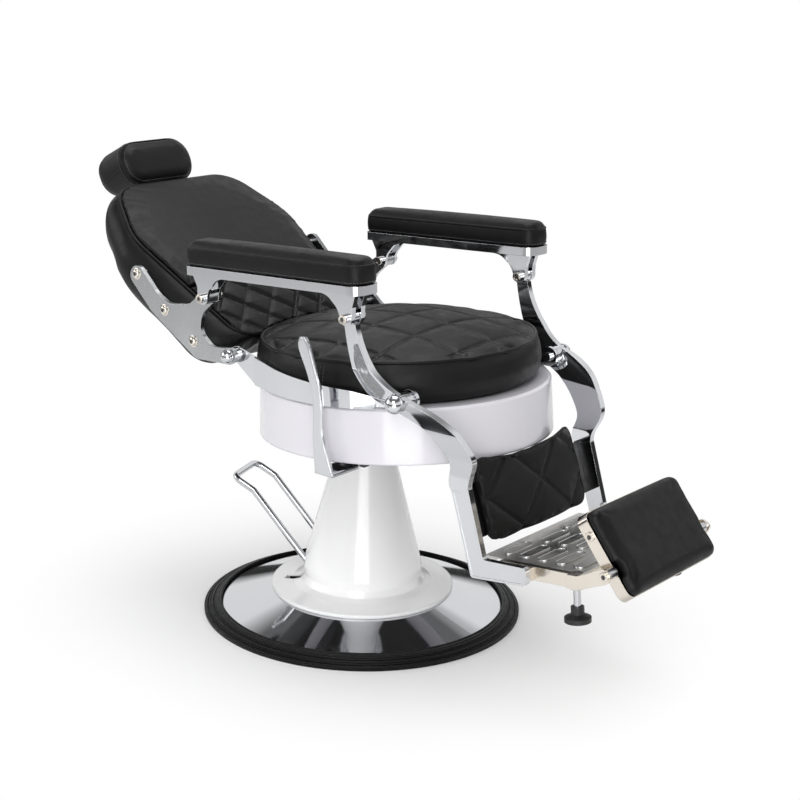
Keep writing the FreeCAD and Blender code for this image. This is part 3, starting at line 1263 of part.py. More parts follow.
def lever_brackets():
    """Two hangers under the seat board that carry the lever's shaft."""
    h = board_top() - BOARD_THICK
    half = LEVER_BRACKET_WIDTH / 2
    left, right = LEVER_X - half, LEVER_X + half
    foot = LEVER_BRACKET_FOOT / 2
    drop = LEVER_BRACKET_DROP
    under = LEVER_Z - drop
    hangers = []
    for y in LEVER_BRACKET_YS:
        corners = [(left, seat_level(left, h), 0), (right, seat_level(right, h), 0),
                   (LEVER_X + foot, under, drop - 1), (LEVER_X - foot, under, drop - 1)]
        low, high = -y - LEVER_BRACKET_THICK / 2, -y + LEVER_BRACKET_THICK / 2
        plate = side_plate(corners, low, high)
        hangers.append(plate.cut(rod_y(LEVER_X, LEVER_Z, LEVER_SHAFT_R + RUN, low, high)))
    return Part.Compound(hangers)


def build():
    """All nodes by name."""
    nodes = {
        "base_rubber_ring": base_ring(),
        "base_plate": base_plate(),
        "base_chrome_disc": base_disc(),
        "pump_cover": pump_cover(),
        "pump_cylinder": pump_cylinder(),
        "pedal_bearings": pedal_bearings(),
        "pump_pedal": pump_pedal(),
        "pump_plunger": pump_plunger(),
        "ram": ram(),
        "seat_frame": seat_frame(),
        "seat_board": seat_board(),
        "seat_skirt": seat_skirt(),
        "seat_cushion": seat_cushion(),
        "pivot_balls": pivot_balls(),
        "back_shell": back_shell(),
        "back_cushion": back_cushion(),
        "lumbar_cushion": lumbar_cushion(),
        "headrest_sleeves": headrest_sleeves(),
        "headrest_posts": headrest_posts(),
        "headrest_cushion": headrest_cushion(),
        "arm_front_pins": arm_pins(ARM_FRONT_X, ARM_FRONT_Z),
        "arm_rear_pins": arm_pins(ARM_REAR_X, ARM_REAR_Z),
        "foot_frame": foot_frame(),
        "footplate": footplate(),
        "hinge_arms": hinge_arms(),
        "flip_pan": flip_pan(),
        "flip_pad": flip_pad(),
        "hinge_pins": hinge_pins(),
        "foot_stems": foot_stems(),
        "foot_pads": foot_pads(),
        "calf_pad": calf_pad(),
        "calf_board": calf_board(),
        "recline_lever": recline_lever(),
        "lever_brackets": lever_brackets(),
    }
    for name, shape in (("seat_rail", seat_rail()), ("back_side_plate", back_side_plate()),
                        ("arm_frame", arm_frame()), ("arm_pad", arm_pad()), ("front_arm", front_arm()),
                        ("footrest_arm", footrest_arm())):
        nodes[name + "_right"] = shape
        nodes[name + "_left"] = mirrored(shape)
    return nodes


for node, shape in build().items():
    if not shape.isValid():
        raise ValueError("not a valid solid: " + node)
    shape.exportStep("parts/" + node + ".step")
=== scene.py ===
"""Barber chair: upholstery, finishes, small fasteners and a plain studio."""

import json
import math

import bmesh
import bpy
import numpy as np
from bpy.props import FloatProperty, FloatVectorProperty, IntProperty, PointerProperty
from mathutils import Matrix, Vector


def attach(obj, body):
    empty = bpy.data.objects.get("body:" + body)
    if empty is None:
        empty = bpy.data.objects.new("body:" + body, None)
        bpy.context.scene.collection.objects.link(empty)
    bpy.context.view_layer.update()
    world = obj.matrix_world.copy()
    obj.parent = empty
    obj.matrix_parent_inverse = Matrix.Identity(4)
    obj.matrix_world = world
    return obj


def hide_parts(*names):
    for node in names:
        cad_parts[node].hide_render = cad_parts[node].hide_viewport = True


bl_info = {
    "name": "Barber Chair Dresser",
    "version": (1, 0, 0),
    "blender": (4, 5, 0),
    "location": "View3D > Sidebar > Chair",
    "description": "Dresses a packed barber chair in leather, chrome and enamel",
    "category": "Object",
}

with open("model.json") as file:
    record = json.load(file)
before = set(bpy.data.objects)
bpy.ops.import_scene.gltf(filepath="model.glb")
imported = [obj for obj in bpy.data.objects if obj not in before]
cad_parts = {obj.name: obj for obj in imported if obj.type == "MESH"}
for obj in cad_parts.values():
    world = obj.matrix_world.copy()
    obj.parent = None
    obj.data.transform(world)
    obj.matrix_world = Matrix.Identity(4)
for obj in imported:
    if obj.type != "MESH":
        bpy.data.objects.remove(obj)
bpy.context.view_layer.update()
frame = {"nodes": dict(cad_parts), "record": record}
NODES = frame["nodes"]
SIDES = (("right", -1), ("left", 1))


def tilted(x, z, lean):
    """Matrix at a side-view point, with local +X raised by lean degrees."""
    return Matrix.Translation((x, 0, z)) @ Matrix.Rotation(math.radians(-lean), 4, "Y")


# Places of the chair's groups, as in the construction
SEAT = tilted(0.1145, 0.4435, 3.0)
BACK = tilted(-0.1325, 0.601, 57.0)
FLIP = tilted(0.737, 0.322, 39.0)
CALF = tilted(0.471, 0.315, 20.0)
FOOT = tilted(0.452, 0.282, 5.5)
ARM = tilted(0.202, 0.739, math.degrees(math.atan2(0.021, 0.389)))
HEADREST = BACK @ Matrix.Translation((-0.047, 0, 0.6285)) @ Matrix.Rotation(math.radians(30), 4, "Y")


class ChairSizes(bpy.types.PropertyGroup):
    """Sizes of the upholstery work."""

    voxel: FloatProperty(name="Mesh step", description="Grid step of the padded pieces",
                         default=0.005, unit="LENGTH")
    seat_square: FloatProperty(name="Seat square", description="Spacing of the seat's sewn lines",
                               default=0.109, unit="LENGTH")
    lumbar_diamond: FloatProperty(name="Lumbar diamond", description="Spacing of the lower back's sewn lines",
                                  default=0.058, unit="LENGTH")
    calf_diamond: FloatProperty(name="Calf diamond", description="Spacing of the calf pad's sewn lines",
                                default=0.115, unit="LENGTH")
    calf_slope: FloatProperty(name="Calf slope", description="Slope of the calf pad's sewn lines in degrees",
                              default=48.0)
    crease: FloatProperty(name="Crease", description="Depth of a sewn line", default=0.004, unit="LENGTH")
    piping: FloatProperty(name="Piping", description="Radius of the piping cord",
                          default=0.0034, unit="LENGTH")
    stitch: FloatProperty(name="Stitch", description="Length of one stitch", default=0.0045, unit="LENGTH")
    sim_frames: IntProperty(name="Simulation frames", description="Length of each inflation", default=16)


class ChairColours(bpy.types.PropertyGroup):
    """Colours of the finishes."""

    leather: FloatVectorProperty(name="Leather", description="Black upholstery", subtype="COLOR",
                                 default=(0.0048, 0.0048, 0.0052))
    chrome: FloatVectorProperty(name="Chrome", description="Bright plating", subtype="COLOR",
                                default=(0.63, 0.64, 0.66))
    satin: FloatVectorProperty(name="Satin", description="Satin plating", subtype="COLOR",
                               default=(0.46, 0.47, 0.48))
    nickel: FloatVectorProperty(name="Nickel", description="Warm plating of the footrest", subtype="COLOR",
                                default=(0.72, 0.67, 0.60))
    tread: FloatVectorProperty(name="Tread", description="Stamped sheet of the footplate", subtype="COLOR",
                               default=(0.62, 0.61, 0.59))
    steel: FloatVectorProperty(name="Steel", description="Plain turned steel", subtype="COLOR",
                               default=(0.56, 0.56, 0.58))
    cover: FloatVectorProperty(name="Cover", description="White of the pump cover", subtype="COLOR",
                               default=(0.93, 0.93, 0.935))
    skirt: FloatVectorProperty(name="Skirt", description="White of the seat skirt", subtype="COLOR",
                               default=(0.66, 0.648, 0.69))
    rubber: FloatVectorProperty(name="Rubber", description="Base ring", subtype="COLOR",
                                default=(0.008, 0.008, 0.009))
    # Dark colour of hidden steel work, also painted on the skirt's downward faces as painted shade
    paint: FloatVectorProperty(name="Paint", description="Hidden steel work", subtype="COLOR",
                               default=(0.035, 0.035, 0.038))
    floor: FloatVectorProperty(name="Floor", description="Pale studio floor", subtype="COLOR",
                               default=(0.90, 0.90, 0.90))


def sizes():
    return bpy.context.scene.chair_sizes


def colours():
    return bpy.context.scene.chair_colours


# Finishes

RIB_PITCH = 0.009


def node(tree, kind, links=None, **values):
    """Shader node with socket values by name and links to other sockets."""
    made = tree.nodes.new(kind)
    for key, value in values.items():
        if key in made.inputs:
            made.inputs[key].default_value = value
        else:
            setattr(made, key, value)
    for key, source in (links or {}).items():
        tree.links.new(source, made.inputs[key])
    return made


def shader(name, colour, metallic, roughness):
    """New material with its main shader set."""
    material = bpy.data.materials.new(name)
    material.use_nodes = True
    main = material.node_tree.nodes["Principled BSDF"]
    main.inputs["Base Color"].default_value = (*colour, 1)
    main.inputs["Metallic"].default_value = metallic
    main.inputs["Roughness"].default_value = roughness
    return material, material.node_tree, main


def wire(tree, main, **sources):
    """Links patterns to the main shader's sockets."""
    for key, source in sources.items():
        tree.links.new(source, main.inputs[key.replace("_", " ").title()])


def place(tree):
    return node(tree, "ShaderNodeTexCoord").outputs["Object"]


def noise(tree, where, scale, detail=3.0, roughness=0.5):
    made = node(tree, "ShaderNodeTexNoise", {"Vector": where},
                Scale=scale, Detail=detail, Roughness=roughness)
    return made.outputs["Fac"]


def spread(tree, source, low, high, start=0.3, end=0.7):
    """Value moved from start..end to low..high."""
    made = node(tree, "ShaderNodeMapRange", {"Value": source})
    for key, value in (("From Min", start), ("From Max", end), ("To Min", low), ("To Max", high)):
        made.inputs[key].default_value = value
    return made.outputs["Result"]


def shade(tree, source, colour, low, high):
    """Colour made darker and lighter by a pattern."""
    ramp = node(tree, "ShaderNodeValToRGB", {"Fac": source})
    ramp.color_ramp.elements[0].position = 0.3
    ramp.color_ramp.elements[1].position = 0.7
    ramp.color_ramp.elements[0].color = (*[c * low for c in colour], 1)
    ramp.color_ramp.elements[1].color = (*[min(1.0, c * high) for c in colour], 1)
    return ramp.outputs["Color"]


def bump(tree, height, strength, distance, normal=None):
    links = {"Height": height}
    if normal is not None:
        links["Normal"] = normal
    return node(tree, "ShaderNodeBump", links, Strength=strength, Distance=distance).outputs["Normal"]


def bevel(tree, radius):
    return node(tree, "ShaderNodeBevel", samples=6, Radius=radius).outputs["Normal"]


def stretched(tree, where, scale):
    made = node(tree, "ShaderNodeMapping", {"Vector": where})
    made.inputs["Scale"].default_value = scale
    return made.outputs["Vector"]


def leather_finish(name, colour):
    """Black upholstery leather: pores, soft folds and uneven polish."""
    material, tree, main = shader(name, colour, 0.0, 0.42)
    where = place(tree)
    pores = node(tree, "ShaderNodeTexVoronoi", {"Vector": where}, Scale=620.0).outputs["Distance"]
    folds = bump(tree, noise(tree, where, 26.0, 6.0, 0.6), 0.22, 0.0016)
    grain = bump(tree, noise(tree, where, 900.0, 2.0), 0.10, 0.0004, folds)
    wire(tree, main, base_color=shade(tree, noise(tree, where, 9.0, 4.0), colour, 0.8, 1.35),
         roughness=spread(tree, noise(tree, where, 46.0, 5.0), 0.36, 0.50),
         normal=bump(tree, pores, 0.16, 0.0004, grain))
    main.inputs["Specular IOR Level"].default_value = 0.21
    return material


def plated_finish(name, colour, roughness, edge, brushed=None):
    """Plated metal: faint smears in the polish, soft edges, brushing where asked."""
    material, tree, main = shader(name, colour, 1.0, roughness)
    where = place(tree)
    smears = noise(tree, where, 14.0, 5.0, 0.6)
    normal = bevel(tree, edge) if edge else None
    if brushed:
        lines = noise(tree, stretched(tree, where, brushed), 1.0, 2.0)
        normal = bump(tree, lines, 0.12, 0.0003, normal)
    else:
        normal = bump(tree, noise(tree, where, 60.0, 2.0), 0.02, 0.0004, normal)
    wire(tree, main, base_color=shade(tree, noise(tree, where, 5.0), colour, 0.96, 1.03),
         roughness=spread(tree, smears, roughness * 0.8, roughness * 1.5), normal=normal)
    return material


def enamel_finish(name, colour, painted_underside_shade=None):
    """Gloss enamel with a slight ripple under a clear coat; painted_underside_shade is a dark colour painted
    on the faces that look down, as painted shade.
    """
    material, tree, main = shader(name, colour, 0.0, 0.22)
    where = place(tree)
    gloss = shade(tree, noise(tree, where, 3.0), colour, 0.97, 1.02)
    # Painted shade: faces that look down are coloured dark.
    if painted_underside_shade is not None:
        facing = node(tree, "ShaderNodeTexCoord").outputs["Normal"]
        down = node(tree, "ShaderNodeSeparateXYZ", {"Vector": facing}).outputs["Z"]
        # The mix node's colours are sockets 6 and 7, its factor is 0 and its result is 2
        mixed = node(tree, "ShaderNodeMix", data_type="RGBA")
        mixed.inputs[7].default_value = (*painted_underside_shade, 1)
        tree.links.new(spread(tree, down, 1.0, 0.0, -0.75, -0.55), mixed.inputs[0])
        tree.links.new(gloss, mixed.inputs[6])
        gloss = mixed.outputs[2]
    wire(tree, main, base_color=gloss, roughness=spread(tree, noise(tree, where, 30.0, 4.0), 0.16, 0.26),
         normal=bump(tree, noise(tree, where, 140.0, 2.0), 0.03, 0.0004, bevel(tree, 0.006)))
    main.inputs["Coat Weight"].default_value = 0.6
    main.inputs["Coat Roughness"].default_value = 0.06
    return material


def rubber_finish(name, colour):
    """Ribbed rubber: fine rings about the base's axis, with a dusty mottle."""
    material, tree, main = shader(name, colour, 0.0, 0.5)
    where = place(tree)
    main.inputs["Specular IOR Level"].default_value = 0.25
    flat = node(tree, "ShaderNodeVectorMath", {0: where}, operation="MULTIPLY")
    flat.inputs[1].default_value = (1, 1, 0)
    reach = node(tree, "ShaderNodeVectorMath", {0: flat.outputs["Vector"]},
                 operation="LENGTH").outputs["Value"]
    height = node(tree, "ShaderNodeSeparateXYZ", {"Vector": where}).outputs["Z"]
    along = node(tree, "ShaderNodeMath", {0: reach, 1: height}, operation="SUBTRACT").outputs["Value"]
    turns = node(tree, "ShaderNodeMath", {0: along}, operation="MULTIPLY")
    turns.inputs[1].default_value = 2 * math.pi / RIB_PITCH
    rings = node(tree, "ShaderNodeMath", {0: turns.outputs["Value"]}, operation="SINE").outputs["Value"]
    fine = bump(tree, noise(tree, where, 400.0), 0.15, 0.0004, bevel(tree, 0.002))
    wire(tree, main, base_color=shade(tree, noise(tree, where, 18.0, 5.0), colour, 0.9, 1.15),
         roughness=spread(tree, noise(tree, where, 60.0, 4.0), 0.36, 0.5),
         normal=bump(tree, rings, 1.0, 0.0035, fine))
    return material


def plain_finish(name, colour, roughness, grain):
    """Moulded plastic or painted steel with a fine tooth."""
    material, tree, main = shader(name, colour, 0.0, roughness)
    where = place(tree)
    wire(tree, main, base_color=shade(tree, noise(tree, where, 22.0, 4.0), colour, 0.8, 1.3),
         roughness=spread(tree, noise(tree, where, 70.0, 3.0), roughness * 0.85, roughness * 1.2),
         normal=bump(tree, noise(tree, where, grain, 2.0), 0.18, 0.0003, bevel(tree, 0.0015)))
    return material


def plywood_finish(name, colour):
    """Plywood with long grain; the seat board's near-black colour is painted shade under the seat."""
    material, tree, main = shader(name, colour, 0.0, 0.65)
    where = place(tree)
    grain = noise(tree, stretched(tree, where, (4.0, 60.0, 60.0)), 1.0, 5.0, 0.6)
    wire(tree, main, base_color=shade(tree, grain, colour, 0.7, 1.25),
         normal=bump(tree, grain, 0.2, 0.0005))
    return material


def hammered_finish(name, colour):
    """Sunk panel of the front arms: plated metal with a fine hammered texture."""
    material, tree, main = shader(name, colour, 1.0, 0.34)
    where = place(tree)
    dots = node(tree, "ShaderNodeTexVoronoi", {"Vector": where}, Scale=420.0).outputs["Distance"]
    wire(tree, main, base_color=shade(tree, dots, colour, 0.7, 1.05),
         roughness=spread(tree, dots, 0.22, 0.45, 0.1, 0.6), normal=bump(tree, dots, 0.6, 0.0008))
    return material


def finish(name):
    """Finish by name, made once from the colours in use."""
    kind, name = name, "dressed_" + name
    made = bpy.data.materials.get(name)
    if made is not None:
        return made
    tint = colours()
    makers = {
        "black_leather": (leather_finish, tint.leather),
        "leather_piping": (leather_finish, [c * 1.1 for c in tint.leather]),
        "bright_chrome": (plated_finish, tint.chrome, 0.05, 0.0008),
        "round_chrome": (plated_finish, tint.chrome, 0.06, 0.007),
        "rod_chrome": (plated_finish, tint.chrome, 0.06, 0),
        "satin_chrome": (plated_finish, tint.satin, 0.24, 0.0012, (30.0, 30.0, 900.0)),
        "warm_nickel": (plated_finish, tint.nickel, 0.13, 0.001),
        "stainless_tread": (plated_finish, tint.tread, 0.28, 0.0008, (20.0, 900.0, 900.0)),
        "plain_steel": (plated_finish, tint.steel, 0.2, 0.0006, (400.0, 20.0, 400.0)),
        "white_enamel": (enamel_finish, tint.cover),
        # The skirt's faces that look down take the dark colour as painted shade.
        "skirt_enamel": (enamel_finish, tint.skirt, tint.paint),
        "ring_rubber": (rubber_finish, tint.rubber),
        "dark_steel": (plain_finish, tint.paint, 0.45, 320.0),
        "cast_base": (plain_finish, [c * 2.5 for c in tint.paint], 0.6, 180.0),
        "black_plastic": (plain_finish, tint.rubber, 0.4, 500.0),
        # Near-black seat board: painted shade under the seat.
        "board_wood": (plywood_finish, (0.02, 0.018, 0.016)),
        "hammered_panel": (hammered_finish, [c * 0.8 for c in tint.satin]),
        "thread": (plain_finish, (0.09, 0.09, 0.095), 0.7, 900.0),
    }
    maker, *values = makers[kind]
    return maker(name, *values)


# Shared work on meshes

LINE_WIDTH = 0.004
SWELL_WIDTH = 0.022
CORD_STEP = 0.006
THREAD_R = 0.0006
SPLIT_ANGLE = math.radians(35)


def points_of(mesh, kind="co"):
    """A mesh's points, or their normals where asked, as rows."""
    flat = np.empty(len(mesh.vertices) * 3, np.float32)
    mesh.vertices.foreach_get(kind, flat)
    return flat.reshape(-1, 3).astype(float)


def set_points(mesh, points):
    mesh.vertices.foreach_set("co", points.astype(np.float32).ravel())
    mesh.update()


def moved(points, matrix):
    m = np.array(matrix)
    return points @ m[:3, :3].T + m[:3, 3]


def local_of(pad, matrix):
    """A pad's points in a group's own frame."""
    return moved(points_of(pad.data), matrix.inverted())


def smooth_step(value, low, high):
    share = np.clip((value - low) / (high - low), 0, 1)
    return share * share * (3 - 2 * share)


def baked(work, name, smooth=True):
    """New mesh from finished work."""
    mesh = bpy.data.meshes.new(name)
    work.to_mesh(mesh)
    work.free()
    if smooth:
        mesh.shade_smooth()
    return mesh


def add_piece(name, mesh, body, finish_name):
    """Object for a mesh that rides on a body with a finish."""
    piece = bpy.data.objects.new(name, mesh)
    bpy.context.scene.collection.objects.link(piece)
    mesh.materials.clear()
    mesh.materials.append(finish(finish_name))
    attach(piece, body)
    return piece


def applied(piece):
    """Puts the modifiers' result in the mesh."""
    graph = bpy.context.evaluated_depsgraph_get()
    mesh = bpy.data.meshes.new_from_object(piece.evaluated_get(graph))
    old = piece.data
    piece.modifiers.clear()
    piece.data = mesh
    bpy.data.meshes.remove(old)
    return mesh


def soft_blank(name, node_name, step, rounds):
    """Even, rounded mesh in the space of a soft solid."""
    blank = bpy.data.objects.new(name, NODES[node_name].data.copy())
    bpy.context.scene.collection.objects.link(blank)
    grid = blank.modifiers.new("Grid", "REMESH")
    grid.mode = "VOXEL"
    grid.voxel_size = step
    even = blank.modifiers.new("Even", "SMOOTH")
    even.factor = 0.5
    even.iterations = rounds
    applied(blank).materials.clear()
    return blank


def inflate(pad, pressure, limit, held):
    """Swells a pad as cloth under pressure; held is how firmly each point is sewn down."""
    scene = bpy.context.scene
    rest = points_of(pad.data)
    group = pad.vertex_groups.new(name="held")
    for level in range(1, 11):
        found = np.nonzero(np.round(held * 10).astype(int) == level)[0]
        group.add(found.tolist(), level / 10, "REPLACE")
    cloth = pad.modifiers.new("Cloth", "CLOTH")
    for key, value in (("quality", 4), ("mass", 0.3), ("tension_stiffness", 18),
                       ("compression_stiffness", 18), ("shear_stiffness", 8), ("bending_stiffness", 3),
                       ("use_pressure", True), ("uniform_pressure_force", pressure)):
        setattr(cloth.settings, key, value)
    cloth.settings.effector_weights.gravity = 0
    cloth.settings.vertex_group_mass = "held"
    cloth.collision_settings.use_collision = False
    cloth.point_cache.frame_start = 1
    cloth.point_cache.frame_end = sizes().sim_frames
    for step in range(1, sizes().sim_frames + 1):
        scene.frame_set(step)
    graph = bpy.context.evaluated_depsgraph_get()
    swollen = pad.evaluated_get(graph).to_mesh()
    shift = points_of(swollen) - rest
    pad.evaluated_get(graph).to_mesh_clear()
    pad.modifiers.clear()
    pad.vertex_groups.clear()
    scene.frame_set(1)
    reach = np.linalg.norm(shift, axis=1, keepdims=True)
    set_points(pad.data, rest + shift * np.minimum(1, limit / np.maximum(reach, 1e-9)))


def dress(pad, body, nodes):
    """Finishes a padded piece: leather, smooth shading, its body and the solids that it stands for."""
    mesh = pad.data
    mesh.materials.append(finish("black_leather"))
    mesh.shade_smooth()
    fine = pad.modifiers.new("Fine", "SUBSURF")
    fine.levels = fine.render_levels = 1
    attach(pad, body)
    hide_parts(*nodes)


def line_gap(offset, spacing):
    """Distance to the nearest of evenly spaced sewn lines, which lie half a step from the centre."""
    turns = offset / spacing - 0.5
    return np.abs(turns - np.round(turns)) * spacing


def crease(pad, gap, mask, puff):
    """Draws sewn lines in and lets the panels between them swell."""
    mesh = pad.data
    points, normals = points_of(mesh), points_of(mesh, "normal")
    line = np.exp(-(gap / LINE_WIDTH) ** 2)
    swell = 1 - np.exp(-(gap / SWELL_WIDTH) ** 2)
    shift = (swell * puff - line * sizes().crease) * mask
    set_points(mesh, points + normals * shift[:, None])


def skin(work, pairs):
    """Faces between pairs of rings."""
    for first, second in pairs:
        for index in range(len(first)):
            near = (index + 1) % len(first)
            work.faces.new((first[index], first[near], second[near], second[index]))


def tube_mesh(name, points, radius, closed, sides=8):
    """Round cord along a line of points."""
    path = np.array(points, float)
    ahead = np.roll(path, -1, axis=0) - np.roll(path, 1, axis=0)
    if not closed:
        ahead[0] = path[1] - path[0]
        ahead[-1] = path[-1] - path[-2]
    ahead /= np.linalg.norm(ahead, axis=1, keepdims=True)
    work = bmesh.new()
    rings = []
    side = Vector(ahead[0]).orthogonal().normalized()
    for spot, way in zip(path, ahead):
        way = Vector(way)
        side = (side - way * side.dot(way)).normalized()
        other = way.cross(side)
        ring = []
        for index in range(sides):
            turn = 2 * math.pi * index / sides
            arm = side * math.cos(turn) + other * math.sin(turn)
            ring.append(work.verts.new(Vector(spot) + arm * radius))
        rings.append(ring)
    pairs = list(zip(rings, rings[1:]))
    if closed:
        best = min(range(sides), key=lambda s: (rings[0][s].co - rings[-1][0].co).length)
        pairs.append((rings[-1], rings[0][best:] + rings[0][:best]))
    skin(work, pairs)
    if not closed:
        work.faces.new(rings[0][::-1])
        work.faces.new(rings[-1])
    return baked(work, name)


def snapped(points, pad, lift):
    """Points put on a pad's surface and lifted off it a little."""
    placed = []
    for point in points:
        _, spot, normal, _ = pad.closest_point_on_mesh(Vector(point))
        placed.append(spot + normal * lift)
    return placed


def even_path(points, closed, step):
    """Line through the points with one distance between its stops."""
    path = [Vector(p) for p in points]
    if closed:
        path.append(path[0])
    lengths = [0.0]
    for a, b in zip(path, path[1:]):
        lengths.append(lengths[-1] + (b - a).length)
    count = max(3, round(lengths[-1] / step))
    stops = []
    index = 0
    for turn in range(count if closed else count + 1):
        want = lengths[-1] * turn / count
        while index < len(path) - 2 and lengths[index + 1] < want:
            index += 1
        share = (want - lengths[index]) / max(lengths[index + 1] - lengths[index], 1e-9)
        stops.append(path[index].lerp(path[index + 1], share))
    return stops


def eased(points, closed, rounds):
    """Line with its small kinks worn away."""
    path = np.array([list(p) for p in points])
    for _ in range(rounds):
        middle = (np.roll(path, 1, axis=0) + np.roll(path, -1, axis=0)) / 2
        fresh = path * 0.5 + middle * 0.5
        if not closed:
            fresh[0], fresh[-1] = path[0], path[-1]
        path = fresh
    return [Vector(p) for p in path]


def add_piping(name, points, pad, body, closed=True, lift=0.0008, radius=None):
    """Piping cord sewn along a pad's edge, or straight along its line where no pad is given."""
    line = even_path(points, closed, CORD_STEP)
    if pad is not None:
        line = eased(snapped(line, pad, lift), closed, 6)
    mesh = tube_mesh(name, line, radius or sizes().piping, closed)
    add_piece(name, mesh, body, "leather_piping")


def add_stitches(name, points, pad, body, closed=True, lift=0.0004):
    """Row of short stitches along a line on a pad."""
    length = sizes().stitch
    line = even_path(points, closed, length * 1.5)
    work = bmesh.new()
    for index, start in enumerate(line):
        if not closed and index == len(line) - 1:
            break
        end = start.lerp(line[(index + 1) % len(line)], 0.68)
        row = snapped([start, (start + end) / 2, end], pad, lift)
        part = tube_mesh("stitch", row, THREAD_R, False, 5)
        work.from_mesh(part)
        bpy.data.meshes.remove(part)
    add_piece(name, baked(work, name), body, "thread")


def outline(corners, steps=6):
    """Closed outline through (a, b, radius) corners, each rounded by an arc."""
    line = []
    count = len(corners)
    for index, (a, b, radius) in enumerate(corners):
        spot = Vector((a, b))
        back = (Vector(corners[index - 1][:2]) - spot).normalized()
        ahead = (Vector(corners[(index + 1) % count][:2]) - spot).normalized()
        half = back.angle(ahead) / 2
        run = radius / math.tan(half)
        centre = spot + (back + ahead).normalized() * (radius / math.sin(half))
        first, last = spot + back * run - centre, spot + ahead * run - centre
        turn = first.angle_signed(last)
        for step in range(steps + 1):
            arm = first.copy()
            arm.rotate(Matrix.Rotation(-turn * step / steps, 2))
            line.append(centre + arm)
    return line


def lathe(work, profile, centre, way, sides=24, hex_from=None):
    """Turned head added to a mesh: (radius, height) points about a direction, hexagonal from one on."""
    way = Vector(way).normalized()
    side = way.orthogonal().normalized()
    other = way.cross(side)
    rings = []
    for index, (radius, height) in enumerate(profile):
        ring = []
        for turn in range(sides):
            angle = 2 * math.pi * turn / sides
            reach = radius
            if hex_from is not None and index >= hex_from:
                reach = radius / math.cos((angle + math.pi / 6) % (math.pi / 3) - math.pi / 6)
            arm = side * math.cos(angle) + other * math.sin(angle)
            ring.append(work.verts.new(Vector(centre) + way * height + arm * reach))
        rings.append(ring)
    skin(work, zip(rings, rings[1:]))
    work.faces.new(rings[0][::-1])
    work.faces.new(rings[-1])


def fastener_piece(name, profile, spots, body, finish_name, hex_from=None, sides=24):
    """Like heads at several spots, as one piece; spots are (centre, direction) pairs."""
    work = bmesh.new()
    for centre, way in spots:
        lathe(work, profile, centre, way, sides, hex_from)
    piece = add_piece(name, baked(work, name), body, finish_name)
    piece.modifiers.new("Edges", "EDGE_SPLIT").split_angle = SPLIT_ANGLE


